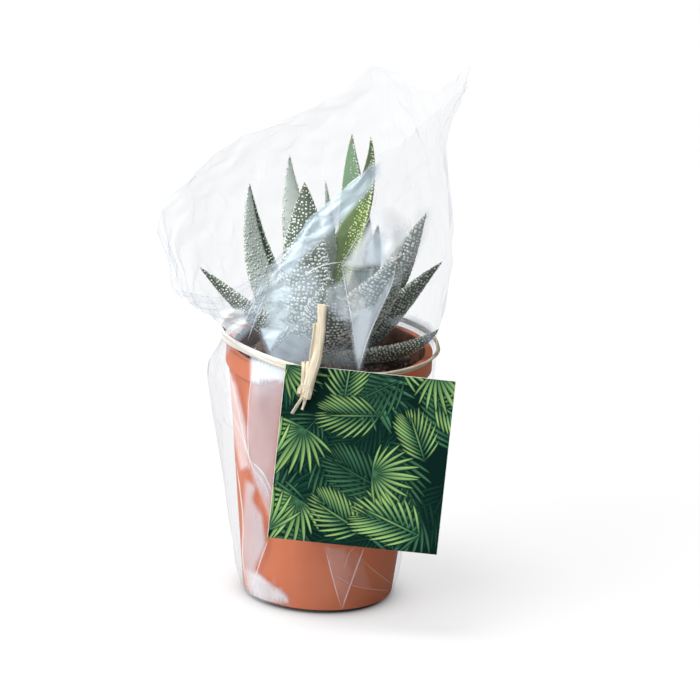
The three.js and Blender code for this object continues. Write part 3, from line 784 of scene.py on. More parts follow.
# ---- film ----
# turn, radius a third up, radius three quarters up, edge radius, edge height
FILM_TOP = np.array([
    (0, 34.2, 30.4, 37, 161.5),
    (6, 34.2, 30.6, 38, 163),
    (28, 33.8, 30, 31, 150),
    (45, 34, 30.5, 30.5, 148.5),
    (75, 35, 34.5, 32.5, 152.5),
    (90, 35.5, 35.5, 33, 143.5),
    (110, 36, 38, 35, 136),
    (145, 37, 42.5, 43, 125.5),
    (160, 38, 45, 47, 119.5),
    (171, 38, 48.5, 56, 111),
    (184, 36.5, 43, 46.5, 99),
    (197, 36, 43, 47.5, 94),
    (215, 34.5, 38.5, 39.5, 96.5),
    (240, 33.2, 34, 33.5, 110.5),
    (255, 32.9, 33.2, 32.2, 123.5),
    (271, 32.6, 32.5, 31, 132.5),
    (291, 32.6, 31.5, 30.5, 143),
    (323, 33.4, 30.5, 31, 150),
    (350, 34.2, 30.2, 35, 159.5),
    (360, 34.2, 30.4, 37, 161.5),
])
# turn, half breadth in degrees, how far out at the foot and at mid height
FILM_FOLDS = [
    (180, 40, 0.6, 5),
    (232, 13, 1.2, 1.4),
    (285, 16, 2.2, 0.6),
    (345, 14, 0.5, 1.2),
    (48, 22, 1, 3),
    (112, 18, 1.6, 2.2),
]

# Where its front is clouded, as outlines in the picture. The clouding is partly the milkiness of creased film
# and partly painted light: the white patches paint highlights and reflections, the grey ones paint shade.
# share hidden, whiteness, softness of the edge, corners. A later one shows where it hides more.
FILM_HAZE_AND_PAINTED_LIGHT = [
    (0.76, 0.72, 5, [(276, 270), (284, 258), (292, 243), (303, 226), (313, 212), (320, 205), (338, 193),
                     (356, 180), (372, 166), (378, 162), (379, 176), (370, 189), (352, 209), (336, 228),
                     (321, 241), (305, 256), (290, 276)]),
    (0.45, 0.52, 7, [(268, 290), (276, 268), (300, 262), (314, 270), (322, 285), (320, 330), (312, 364),
                     (272, 364), (262, 335)]),
    (0.56, 0.68, 7, [(270, 285), (288, 270), (296, 292), (292, 326), (282, 342), (266, 335)]),
    (0.62, 0.32, 5, [(270, 350), (290, 330), (316, 335), (312, 364), (268, 363)]),
    (0.14, 0.45, 5, [(300, 262), (312, 256), (316, 270), (326, 286), (340, 300), (336, 318), (314, 320)]),
    (0.50, 0.80, 5, [(326, 288), (344, 280), (349, 296), (352, 322), (336, 318), (324, 306)]),
    (0.80, 0.97, 5, [(343, 265), (352, 252), (362, 237), (370, 224), (376, 222), (374, 234), (368, 245),
                     (365, 268), (350, 268)]),
    (0.34, 1.00, 7, [(366, 238), (376, 212), (392, 210), (404, 220), (402, 234), (384, 238)]),
    (0.74, 0.80, 5, [(362, 266), (366, 242), (376, 230), (388, 234), (388, 266)]),
    (0.56, 0.95, 5, [(382, 238), (396, 228), (410, 222), (410, 234), (402, 250), (395, 263), (380, 264)]),
    (0.40, 0.58, 4, [(342, 266), (355, 270), (375, 270), (395, 264), (393, 279), (371, 325), (360, 366),
                     (354, 345), (346, 300)]),
    (0.52, 0.95, 4, [(343, 266), (356, 271), (364, 290), (369, 314), (362, 330), (352, 325), (346, 296)]),
    (0.66, 0.80, 2.5, [(394, 270), (394, 278), (386, 298), (372, 326), (364, 348), (360, 338), (368, 316),
                       (384, 288)]),
    (0.80, 0.84, 4, [(350, 312), (376, 308), (367, 342), (359, 370), (354, 350)]),
    (0.78, 0.72, 2, [(260, 328), (284, 329), (277, 340), (270, 353)]),
    (0.46, 0.16, 3, [(260, 278), (272, 290), (254, 326), (238, 342), (230, 334), (250, 303)]),
    (0.56, 0.97, 5, [(212, 318), (226, 308), (242, 308), (250, 316), (247, 326), (236, 340), (212, 338)]),
    (0.40, 0.42, 4, [(204, 356), (214, 340), (230, 332), (237, 342), (226, 354), (212, 368)]),
    (0.55, 0.80, 4, [(272, 262), (278, 262), (284, 274), (276, 288), (270, 282)]),
    (0.40, 0.60, 2, [(252, 378), (286, 376), (278, 440), (270, 520), (262, 500), (250, 470), (247, 430)]),
    (0.84, 0.85, 3, [(251, 358), (292, 366), (289, 382), (270, 380), (251, 382)]),
    (0.24, 0.60, 2, [(247, 400), (252, 380), (254, 440), (262, 480), (252, 470)]),
    (0.28, 0.92, 5, [(391, 284), (396, 262), (408, 235), (418, 210), (430, 210), (427, 235), (414, 262),
                     (399, 286)]),
    (0.36, 0.85, 5, [(244, 200), (252, 184), (262, 205), (274, 262), (262, 262), (256, 240)]),
    (0.50, 1.00, 3, [(226, 365), (236, 385), (246, 425), (250, 468), (240, 470), (230, 420)]),
    (0.16, 0.10, 14, [(350, 110), (385, 100), (400, 135), (380, 165), (352, 140)]),
    (0.16, 0.10, 12, [(305, 150), (342, 150), (336, 205), (312, 200)]),
    (0.16, 0.20, 14, [(170, 260), (200, 235), (240, 240), (250, 300), (225, 290), (205, 275)]),
    (0.26, 0.80, 5, [(300, 180), (318, 204), (302, 240), (286, 262), (276, 262), (286, 232), (294, 200)]),
    (0.42, 0.95, 4, [(294, 190), (297, 212), (292, 232), (282, 250), (280, 240), (288, 210)]),
    (0.55, 0.60, 3, [(250, 462), (262, 468), (272, 490), (268, 505), (256, 486)]),
    (0.50, 0.72, 3, [(245, 480), (256, 486), (252, 500), (262, 515), (266, 545), (254, 570), (262, 590),
                     (242, 592), (241, 555)]),
    (0.05, 1.00, 3, [(211, 352), (222, 345), (226, 365), (238, 420), (247, 470), (241, 500), (228, 430),
                     (216, 390)]),
    (0.72, 0.86, 3, [(243, 566), (256, 572), (268, 582), (284, 593), (290, 603), (262, 600), (246, 592)]),
    (0.17, 0.40, 2, [(325, 546), (345, 549), (352, 574), (343, 604), (334, 585)]),
    (0.10, 0.40, 2, [(345, 549), (358, 552), (366, 574), (370, 588), (352, 584)]),
    (0.45, 0.0, 3, [(386, 322), (400, 316), (414, 317), (430, 325), (440, 342), (432, 346), (414, 332)]),
    (0.24, 0.10, 4, [(322, 348), (350, 348), (356, 368), (322, 366)]),
]
CLEAR_TONE = 0.5
CREASE_REACH = -2  # a ray that meets the film farther back has passed over its front edge
CREASE_STEP = 2.2  # pixels
CREASE_LIFT = 0.1  # off the film, towards the camera
# Sharp creases on its front, in the picture, shown as white lines that are partly creased film whitening and
# partly painted highlights: half width in millimetres, whiteness, points
FILM_CREASES = [
    (0.16, 0.7, [(278, 268), (292, 243), (303, 226), (313, 212), (338, 193), (366, 171), (377, 162)]),
    (0.14, 0.5, [(303, 264), (320, 241), (338, 218), (356, 197), (378, 181)]),
    (0.15, 0.6, [(342, 263), (358, 236), (374, 208), (377, 190)]),
    (0.15, 0.9, [(342, 264), (346, 290), (352, 320), (356, 348), (359, 368)]),
    (0.17, 1.0, [(359, 368), (368, 338), (380, 310), (393, 280), (396, 263)]),
    (0.11, 0.35, [(342, 264), (354, 269), (374, 269), (397, 263)]),
    (0.15, 0.8, [(303, 276), (316, 268), (328, 264), (342, 262)]),
    (0.16, 0.8, [(262, 284), (252, 306), (240, 332)]),
    (0.13, 0.6, [(257, 283), (246, 306), (234, 332)]),
    (0.13, 0.6, [(268, 288), (258, 312), (248, 340)]),
    (0.14, 0.8, [(338, 160), (340, 190), (338, 222)]),
    (0.14, 0.6, [(223, 385), (233, 415), (243, 440), (252, 468)]),
    (0.16, 0.8, [(230, 372), (238, 410), (247, 450), (256, 478)]),
    (0.16, 0.8, [(252, 462), (262, 472), (272, 492)]),
    (0.13, 0.6, [(254, 470), (264, 484), (270, 500)]),
    (0.14, 0.7, [(252, 372), (249, 400), (248, 440), (250, 468)]),
    (0.14, 0.7, [(268, 540), (260, 562), (252, 588)]),
    (0.15, 0.8, [(236, 462), (240, 490), (243, 520), (243, 560), (246, 585)]),
    (0.14, 0.5, [(342, 609), (336, 590), (326, 551)]),
    (0.17, 0.7, [(342, 609), (351, 583), (364, 548)]),
    (0.12, 0.3, [(336, 576), (352, 585), (372, 589), (390, 591)]),
    (0.12, 0.3, [(364, 562), (376, 572), (392, 584)]),
    (0.12, 0.3, [(344, 570), (350, 552), (356, 546)]),
    (0.14, 0.6, [(247, 592), (262, 598), (280, 603)]),
]


def tie_height(angle):
    at, breadth, height = TIE_RAISED
    raised = height * np.exp(-(((np.degrees(angle) % 360 - at) / breadth) ** 2))
    return TIE_Z + TIE_TILT[0] * np.cos(angle) + TIE_TILT[1] * np.sin(angle) + raised


def pot_radius(z):
    share = np.clip((z - POT_BOTTOM_Z) / (SHOULDER_Z - POT_BOTTOM_Z), 0, 1)
    body = lerp(POT_BASE_RADIUS, POT_SHOULDER_RADIUS, share)
    return lerp(body, POT_LIP_RADIUS, smoothstep(z, SHOULDER_Z - POT_STEP, SHOULDER_Z + POT_STEP))


def folds_at(angle, share):
    degrees = np.degrees(angle) % 360
    faded = 1 - smoothstep(share, 0.8, 0.96)
    most = np.zeros_like(angle)
    for at, breadth, foot, middle in FILM_FOLDS:
        away = np.abs((degrees - at + 540) % 360 - 180) / breadth
        out = lerp(foot, middle, np.minimum(share / 0.7, 1)) * faded
        bulge = out * np.cos(np.minimum(away, 1) * math.pi / 2) ** 2
        most = np.where(away < 1, np.maximum(most, bulge), most)
    return most


def film_rise(angle, share):
    """Radius and height of the sleeve above the tie: a spline through four points."""
    degrees = np.degrees(angle) % 360
    third, high, edge, top = (np.interp(degrees, FILM_TOP[:, 0], FILM_TOP[:, i]) for i in (1, 2, 3, 4))
    neck = tie_height(angle) + FILM_NECK
    knots = [
        (np.full_like(angle, FILM_RADIUS), neck),
        (third, lerp(neck, top, 0.35)),
        (high, lerp(neck, top, 0.75)),
        (edge, top),
    ]
    knots = np.array([knots[0], *knots, knots[-1]])
    place = np.clip(share, 0, 1) * 3
    span = np.minimum(place.astype(int), 2)
    t = place - span
    each = np.arange(len(angle))
    before, start, end, after = (
        np.array([knots[span + k, axis, each] for axis in (0, 1)]) for k in range(4)
    )
    first, last = (end - before) / 2, (after - start) / 2
    curve = (2 * start - 2 * end + first + last) * t**3 + (-3 * start + 3 * end - 2 * first - last) * t**2
    return curve + first * t + start


def film_middle(angle, level):
    foot_radius = POT_BASE_RADIUS + FILM_STANDOFF
    under = np.minimum(level, 1) * (foot_radius - 0.2)
    share = np.clip(level - 1, 0, 1)
    side_z = lerp(POT_BOTTOM_Z + 0.4, tie_height(angle) + FILM_NECK, share)
    hug = lerp(pot_radius(side_z), POT_LIP_RADIUS, smoothstep(side_z, SHOULDER_Z - 10.5, SHOULDER_Z - 1.5))
    side = hug + FILM_STANDOFF + folds_at(angle, share)
    rise = np.clip(level - 2, 0, 1)
    top_radius, top_z = film_rise(angle, rise)
    pleat = 0.55 * np.cos(5 * angle + 1) + 0.45 * np.cos(9 * angle + 2.2)
    top_radius = top_radius + FILM_PLEATS * rise * pleat * smoothstep(rise, 0, 0.3)
    radius = np.where(level <= 1, under, np.where(level <= 2, side, top_radius))
    z = np.where(level <= 1, 0.35, np.where(level <= 2, side_z, top_z))
    return np.column_stack([radius * np.cos(angle), radius * np.sin(angle), z])


def polygon_depth(x, y, corners):
    """How many pixels inside an outline each point lies; negative outside."""
    corners = np.array(corners, float)
    inside = np.zeros(len(x), bool)
    nearest = np.full(len(x), 1e9)
    for (ax, ay), (bx, by) in zip(corners, np.roll(corners, -1, axis=0)):
        t = np.clip(((x - ax) * (bx - ax) + (y - ay) * (by - ay)) / ((bx - ax) ** 2 + (by - ay) ** 2), 0, 1)
        nearest = np.minimum(nearest, np.hypot(x - ax - t * (bx - ax), y - ay - t * (by - ay)))
        crosses = (ay > y) != (by > y)
        at = ax + (y - ay) * (bx - ax) / np.where(by == ay, 1e-9, by - ay)
        inside ^= crosses & (x < at)
    return np.where(inside, nearest, -nearest)


def film_levels():
    """0 to 1 under the pot, 1 to 2 up its side, 2 to 3 above the tie."""
    under = np.linspace(0, 1, FILM_CELLS_FOOT + 1)[1:]
    side = 1 + np.linspace(0, 1, FILM_CELLS_SIDE + 1)[1:]
    above = 2 + np.linspace(0, 1, FILM_CELLS_UP - FILM_CELLS_FOOT - FILM_CELLS_SIDE + 1)[1:]
    return np.concatenate([[0.04], under, side, above])


def film_net():
    """A coarse net whose crossings are pushed about makes flat facets with straight creases."""
    rng = np.random.default_rng(5)
    levels = film_levels()
    deselect()
    bpy.ops.mesh.primitive_grid_add(x_subdivisions=FILM_CELLS_ROUND, y_subdivisions=len(levels) - 1, size=2)
    film = bpy.context.object
    flat = read_points(film)
    column = np.round((flat[:, 0] + 1) / 2 * FILM_CELLS_ROUND).astype(int)
    row = np.round((flat[:, 1] + 1) / 2 * (len(levels) - 1)).astype(int)
    wrapped = column % FILM_CELLS_ROUND
    shift = rng.uniform(-FILM_SHIFT, FILM_SHIFT, (FILM_CELLS_ROUND, len(levels)))
    lift = rng.uniform(-1, 1, (FILM_CELLS_ROUND, len(levels)))
    climb = rng.uniform(-FILM_CLIMB, FILM_CLIMB, (FILM_CELLS_ROUND, len(levels)))
    level = levels[row]
    step_up = np.gradient(levels)[row]
    inside = (row > FILM_CELLS_FOOT + 1) & (row < len(levels) - 1)
    level = level + np.where(inside & (np.abs(level - 2) > 0.12), climb[wrapped, row] * step_up, 0)
    angle = (wrapped + np.where(row > FILM_CELLS_FOOT, shift[wrapped, row], 0)) / FILM_CELLS_ROUND * TURN
    at = film_middle(angle, level)
    round_way = film_middle(angle + 0.02, level) - film_middle(angle - 0.02, level)
    up_way = film_middle(angle, np.minimum(level + 0.01, 3)) - film_middle(angle, level - 0.01)
    out = unit(np.cross(round_way, up_way) + 1e-9)
    out = np.where((level <= 1.03)[:, None], [0, 0, 0], out)
    from_tie = np.abs(level - 2)
    side_push = np.abs(lift[wrapped, row]) * FILM_DENT
    top_push = lift[wrapped, row] * lerp(*FILM_DENT_TOP, np.clip(level - 2, 0, 1))
    push = np.where(level < 2, side_push, top_push) * smoothstep(from_tie, 0.03, 0.2)
    near_tie = smoothstep(from_tie, 0.02, 0.1) * (1 - smoothstep(from_tie, 0.1, 0.4))
    gather = np.where(wrapped % 2 == 0, 0.5, 0.0) * near_tie
    write_points(film, (at + out * (push + gather)[:, None]) * MM)
    return film


def paint_haze_and_light_on_film(film):
    """How much each point of the film hides, and how white it is there; the whiteness is painted light and
    shade.
    """
    points = read_points(film) / MM
    x, y, z = points.T
    front = smoothstep(-y, 4, 14)
    # The haze thins towards the right, the side the lamps light least: a painted fall-off of light.
    haze_and_light = lerp(0.035, 0.10, smoothstep(z, 76, 100)) * (1 - 0.9 * smoothstep(x, -4, 22))
    across, down = picture_places(points)
    tone = np.full(len(x), CLEAR_TONE)
    for hidden, whiteness, softness, corners in FILM_HAZE_AND_PAINTED_LIGHT:
        cloud = hidden * front * smoothstep(polygon_depth(across, down, corners), -softness, softness)
        tone = lerp(tone, whiteness, smoothstep(cloud - haze_and_light, -0.15, 0.15))
        haze_and_light = np.maximum(haze_and_light, cloud)
    set_shares(
        film,
        veil=1 - np.sqrt(1 - haze_and_light),  # the sheet has two faces, and each hides half
        tone=tone,
        crease=0,
        crinkle=(1 - 0.92 * smoothstep(-y, -6, 8)) * lerp(0.8, 0.22, smoothstep(z, 74, 84)),
        edged=smoothstep(z, 2, 9) * (1 - 0.65 * smoothstep(x, 4, 26)),
    )


def make_film():
    """The net is divided finely, and its edges stay fairly tight, as creases do."""
    film = film_net()
    edit_whole(film)
    bpy.ops.mesh.remove_doubles(threshold=0.00001)
    bpy.ops.mesh.quads_convert_to_tris(quad_method="SHORTEST_DIAGONAL", ngon_method="BEAUTY")
    bpy.ops.mesh.normals_make_consistent(inside=False)
    stop_editing()
    tight = film.data.attributes.new("crease_edge", "FLOAT", "EDGE")
    tight.data.foreach_set("value", [FILM_TIGHTNESS] * len(film.data.edges))
    apply_modifier(film, "SUBSURF", levels=2, render_levels=2)
    film.data.attributes.remove(film.data.attributes["crease_edge"])
    paint_haze_and_light_on_film(film)
    film.data.materials.append(clear_film())
    smooth(film)
    return film


def crease_pairs(film_tree, half, line):
    """Step by step along a crease, the points at its two sides where it meets the film."""
    half *= PIXELS_PER_METRE * MM
    knots = np.array(line, float)
    steps = max(6, int(lengths_along(knots)[-1] / CREASE_STEP))
    path = spline_through(knots)(np.linspace(0, 1, steps + 1))
    way = unit(np.gradient(path, axis=0))
    for i, ((across, down), (along_x, along_y)) in enumerate(zip(path, way)):
        share = i / steps
        wide = half * min(1, 5 * share + 0.1, 5 * (1 - share) + 0.1)
        pair = []
        for sign in (-1, 1):
            start, ray = picture_ray(across - sign * along_y * wide, down + sign * along_x * wide)
            hit, _, _, reach = film_tree.ray_cast(start, ray)
            if hit is not None and hit.y < CREASE_REACH * MM:
                pair.append(start + ray * (reach - CREASE_LIFT * MM))
        yield pair


def make_film_creases(film):
    """The sharp folds show white, partly as creased film whitens and partly as painted highlights along them:
    narrow ribbons laid on the film, as wide as a crease.
    """
    tree = BVHTree.FromObject(film, bpy.context.evaluated_depsgraph_get())
    points, faces, whiteness = [], [], []
    for half, white, line in FILM_CREASES:
        before = False
        for pair in crease_pairs(tree, half, line):
            here = len(pair) == 2
            if here:
                points += pair
                whiteness += [white, white]
            if here and before:
                k = len(points) - 4
                faces.append((k, k + 1, k + 3, k + 2))
            before = here
    mesh = bpy.data.meshes.new("film_creases")
    mesh.from_pydata([tuple(p) for p in points], [], faces)
    creases = add_object("film_creases", mesh)
    set_shares(creases, veil=0, tone=1, crease=whiteness, crinkle=0, edged=0)
    creases.data.materials.append(film.data.materials[0])
    apply_modifier(creases, "SOLIDIFY", thickness=CREASE_THICKNESS * MM, offset=0)
    outward_normals(creases)
    return finish_piece(creases, "film_creases", "clear_film")


def finish_film(film):
    apply_modifier(film, "SOLIDIFY", thickness=FILM_THICKNESS * MM, offset=0)
    finish_piece(film, "film_sheet", "clear_film", "film_sleeve")


# ---- card ----
CARD_PLACE = (
    Matrix.Translation((CARD_HOLE[0], -CARD_HOLE_DISTANCE, CARD_HOLE[1]))
    @ Matrix.Rotation(math.pi / 2 + CARD_TILT, 4, "X")
)
CARD_GROUND = np.array([0.001, 0.017, 0.013])
LEAFLET_SLIM = 0.036  # breadth of a leaflet, as a share of its length
MIDRIB_SLIM = 0.014
INK_RAISED = 0.03  # the body of the card stops this far below its printed face
# count, shortest and longest, colours at root and tip; each layer is laid over the last
CARD_LAYERS = [
    (26, (15, 20), (0.006, 0.040, 0.028), (0.010, 0.062, 0.038)),
    (16, (15, 20), (0.026, 0.100, 0.058), (0.062, 0.190, 0.096)),
    (15, (14, 19), (0.080, 0.245, 0.115), (0.370, 0.640, 0.215)),
]


def palm_print(x, y):
    """Colours of the printed palm leaves at points of the card's face: fronds laid at random."""
    rng = np.random.default_rng(41)
    ink = np.tile(CARD_GROUND, (len(x), 1))
    low = np.array([x.min(), y.min()]) - 4
    size = np.array([np.ptp(x), np.ptp(y)]) + 8
    for count, (short, long), base, end in CARD_LAYERS:
        kept = [low + size * rng.random(2)]
        while len(kept) < count:
            tries = low + size * rng.random((14, 2))
            apart = [min(np.hypot(*(spot - other)) for other in kept) for spot in tries]
            kept.append(tries[int(np.argmax(apart))])
        for spot in kept:
            heading = TURN * rng.random()
            length = rng.uniform(short, long)
            fan = rng.random() < 0.45
            bend = rng.uniform(-0.5, 0.5)
            shade = rng.uniform(0.75, 1.15)
            colours = np.array(base) * shade, np.array(end) * shade
            palm_frond(ink, x, y, spot, heading, length, fan, bend, *colours, rng)
    return ink


def palm_frond(ink, x, y, root, heading, length, fan, bend, base, end, rng):
    pairs = 7 if fan else 11
    for k in range(pairs):
        share = (k + 0.6) / pairs
        for side in (-1, 1):
            if fan:
                start = root
                way = heading + side * share * 1.6
                reach = length * (1 - 0.35 * share) * rng.uniform(0.9, 1.06)
            else:
                way_there = heading + bend * share / 2
                start = root + length * share * np.array([math.cos(way_there), math.sin(way_there)])
                way = heading + bend * share + side * lerp(1.0, 0.35, share)
                arch = math.sin(math.pi * (0.28 + 0.62 * share))
                reach = length * 0.66 * arch * rng.uniform(0.9, 1.06)
            tone = rng.uniform(0.75, 1.15)
            palm_leaflet(ink, x, y, start, way, reach, side * 0.12, base * tone, end * tone)
    if not fan:
        colours = base * 1.2, end * 0.8
        palm_leaflet(ink, x, y, root, heading + bend / 4, length * 1.02, 0.0, *colours, slim=MIDRIB_SLIM)


def palm_leaflet(ink, x, y, start, way, reach, curl, base, end, slim=LEAFLET_SLIM):
    """One narrow leaflet, pointed at both ends, with a dark gap round it."""
    near = np.flatnonzero((np.abs(x - start[0]) < reach) & (np.abs(y - start[1]) < reach))
    if not len(near):
        return
    dx, dy = x[near] - start[0], y[near] - start[1]
    along = (dx * math.cos(way) + dy * math.sin(way)) / reach
    across = (-dx * math.sin(way) + dy * math.cos(way)) / reach + curl * along**2
    inside = np.clip(along, 0, 1)
    half = slim * 2.9 * inside**0.85 * (1 - inside) ** 0.75
    shown = (along > 0) & (along < 1)
    inset = (half - np.abs(across)) * reach
    cover = smoothstep(inset, -0.08, 0.14) * shown
    gap = smoothstep(inset, -0.50, -0.16) * shown * smoothstep(inside, 0.05, 0.2) * 0.8
    lit = lerp(0.82, 1.12, smoothstep(across, -0.01, 0.01))
    colour = lerp(base, end, smoothstep(inside, 0.05, 0.75)[:, None]) * lit[:, None]
    ink[near] = lerp(lerp(ink[near], CARD_GROUND, gap[:, None]), colour, cover[:, None])


def card_sheet(grain, height):
    """A square grid of the card's size with its hole, at a height over the middle of its thickness."""
    across, up = round(CARD_WIDTH / grain), round(CARD_HEIGHT / grain)
    deselect()
    bpy.ops.mesh.primitive_grid_add(x_subdivisions=across, y_subdivisions=up, size=2)
    sheet = bpy.context.object
    face = read_points(sheet)
    x = (face[:, 0] + 1) / 2 * CARD_WIDTH - CARD_HOLE_FROM_LEFT
    y = (face[:, 1] + 1) / 2 * CARD_HEIGHT + CARD_HOLE_FROM_TOP - CARD_HEIGHT
    write_points(sheet, np.column_stack([x, y, np.full(len(x), height)]) * MM)
    edit_whole(sheet)
    bpy.ops.mesh.select_mode(type="FACE")
    bpy.ops.mesh.select_all(action="DESELECT")
    stop_editing()
    for polygon in sheet.data.polygons:
        polygon.select = polygon.center.xy.length < CARD_HOLE_RADIUS * MM
    bpy.ops.object.mode_set(mode="EDIT")
    bpy.ops.mesh.delete(type="FACE")
    stop_editing()
    points = read_points(sheet)
    away = np.hypot(points[:, 0], points[:, 1]) / MM
    rim = away < CARD_HOLE_RADIUS + 0.75 * grain
    points[rim, :2] *= (CARD_HOLE_RADIUS / away[rim])[:, None]
    write_points(sheet, points)
    return sheet


def make_card():
    body = card_sheet(CARD_BODY_GRAIN, CARD_THICKNESS / 2 - INK_RAISED)
    apply_modifier(body, "SOLIDIFY", thickness=(CARD_THICKNESS - INK_RAISED) * MM, offset=-1)
    body.data.materials.append(card_paper())
    face = card_sheet(CARD_GRAIN, CARD_THICKNESS / 2)
    points = read_points(face) / MM
    points[:, 0] = lerp(points[:, 0], CARD_WIDTH / 2 - CARD_HOLE_FROM_LEFT, 0.006)
    write_points(face, points * MM)
    ink = palm_print(points[:, 0], points[:, 1])
    set_attribute(face, "ink", np.column_stack([ink, np.ones(len(ink))]), "FLOAT_COLOR")
    face.data.materials.append(card_ink())
    card = join([body, face])
    card.data.transform(Matrix.Rotation(CARD_LEAN, 4, "Z"))
    place = CARD_PLACE.copy()
    place.translation *= MM
    card.data.transform(place)
    return finish_piece(card, "card_printed", "printed_card", "card")


# ---- raffia ----
# rise, how far out, wave and width of the strands round the film
HOOP_STRANDS = [(0.35, 0.1, 0.45, 1.5), (-0.35, 0.0, 0.5, 1.4), (0.1, 0.4, 0.9, 1.1)]
HOOP_FRONT = -math.acos(CARD_HOLE[0] / (FILM_RADIUS + 1.15))  # the turn at which the card hangs


def on_card(*places):
    """Points from how far across, up and out from the card's hole each lies."""
    return [np.array(CARD_PLACE @ Vector(place)) for place in places]


def on_hoop(angle, rise=0.0, out=0.0):
    radius = TIE_RADIUS + out
    return np.array([radius * math.cos(angle), radius * math.sin(angle), float(tie_height(angle)) + rise])


def lengths_along(knots):
    return np.concatenate([[0], np.cumsum(np.linalg.norm(np.diff(knots, axis=0), axis=1))])


def spline_through(knots):
    """Points of a smooth path through the knots, as a function of the share of the way."""
    knots = np.array(knots, float)
    lengths = lengths_along(knots)
    lengths /= lengths[-1]
    ways = np.gradient(knots, lengths, axis=0)

    def path(u):
        i = np.clip(np.searchsorted(lengths, u, side="right") - 1, 0, len(knots) - 2)
        span = (lengths[i + 1] - lengths[i])[:, None]
        t = ((u - lengths[i])[:, None]) / span
        a, b, p, q = knots[i], knots[i + 1], ways[i] * span, ways[i + 1] * span
        return (2 * a - 2 * b + p + q) * t**3 + (-3 * a + 3 * b - 2 * p - q) * t**2 + p * t + a

    return path


def make_strand(knots, width, thickness, seed, twist=0.0, facing=(0, -1, 0)):
    """A flat strip of raffia: ridged lengthwise, a little uneven, turned by twist turns along its way."""
    path = spline_through(knots)
    rng = np.random.default_rng(seed)
    phases = rng.uniform(0, TURN, 6)
    length = np.linalg.norm(np.diff(path(np.linspace(0, 1, 60)), axis=0), axis=1).sum()
    facing = np.array(facing)

    def surface(u, angle, middle):
        centre = path(u)
        along = unit(path(np.minimum(u + 0.004, 1)) - path(np.maximum(u - 0.004, 0)))
        out = unit(facing - along * (along @ facing)[:, None])
        across = np.cross(along, out)
        turned = (twist * TURN * u)[:, None]
        cos, sin = np.cos(turned), np.sin(turned)
        across, out = across * cos + out * sin, out * cos - across * sin
        ridge = 1 + 0.16 * np.cos(5 * angle + phases[0] + 2 * u) + 0.1 * np.cos(9 * angle + phases[1])
        wobble = 1 + 0.1 * np.sin(7 * u + phases[2]) + 0.05 * np.sin(19 * u + phases[3])
        wide = width / 2 * np.sign(np.cos(angle)) * np.abs(np.cos(angle)) ** 0.8 * wobble
        thick = thickness / 2 * np.sin(angle) * ridge
        curl = 0.25 * thickness * (np.cos(angle) ** 2) * math.cos(phases[4])
        return centre + (across * wide[:, None] + out * (thick + curl)[:, None]) * middle[:, None]

    return swept(20, max(8, int(length)), surface, blunt=True)[0]


def make_hoop_strand(seed, rise, out, wave, width):
    """One strand round the film, from the card and back to it; more spread at the left, and paler at the
    front left as painted light from the lamps there.
    """
    angles = np.linspace(HOOP_FRONT - TURN, HOOP_FRONT, 90)
    left = [float(smoothstep(-math.cos(a), 0, 0.8)) for a in angles]
    waves = [math.sin(3 * a + 2 * seed) for a in angles]
    rises = [(1 + b) * rise + (0.4 + 0.6 * b) * wave * w for b, w in zip(left, waves)]
    knots = [on_hoop(a, up, out * (1 + math.sin(5 * a + seed)) / 2) for a, up in zip(angles, rises)]
    path = spline_through(knots)
    phase = np.random.default_rng(60 + seed).uniform(0, TURN, 2)

    def surface(u, angle, middle):
        centre = path(u)
        along = unit(path(np.minimum(u + 0.003, 1)) - path(np.maximum(u - 0.003, 0)))
        out_way = unit(centre * [1, 1, 0])
        up_way = np.cross(along, out_way)
        ridge = 1 + 0.18 * np.cos(5 * angle + phase[0] + 9 * u)
        slim = lerp(0.42, 1.3, smoothstep(-centre[:, 0], -20, 16))
        wide = width / 2 * slim * np.cos(angle) * (1 + 0.12 * np.sin(23 * u + phase[1]))
        thick = 0.36 * np.sin(angle) * ridge
        return centre + (up_way * wide[:, None] + out_way * thick[:, None]) * middle[:, None]

    strand = swept(14, 260, surface, blunt=True)[0]
    x, y, _ = read_points(strand).T / MM
    # Paler towards the front left, facing the lamps: painted light.
    set_shares(strand, pale=smoothstep(-x, 4, 22) * smoothstep(-y, -12, 4))
    return strand


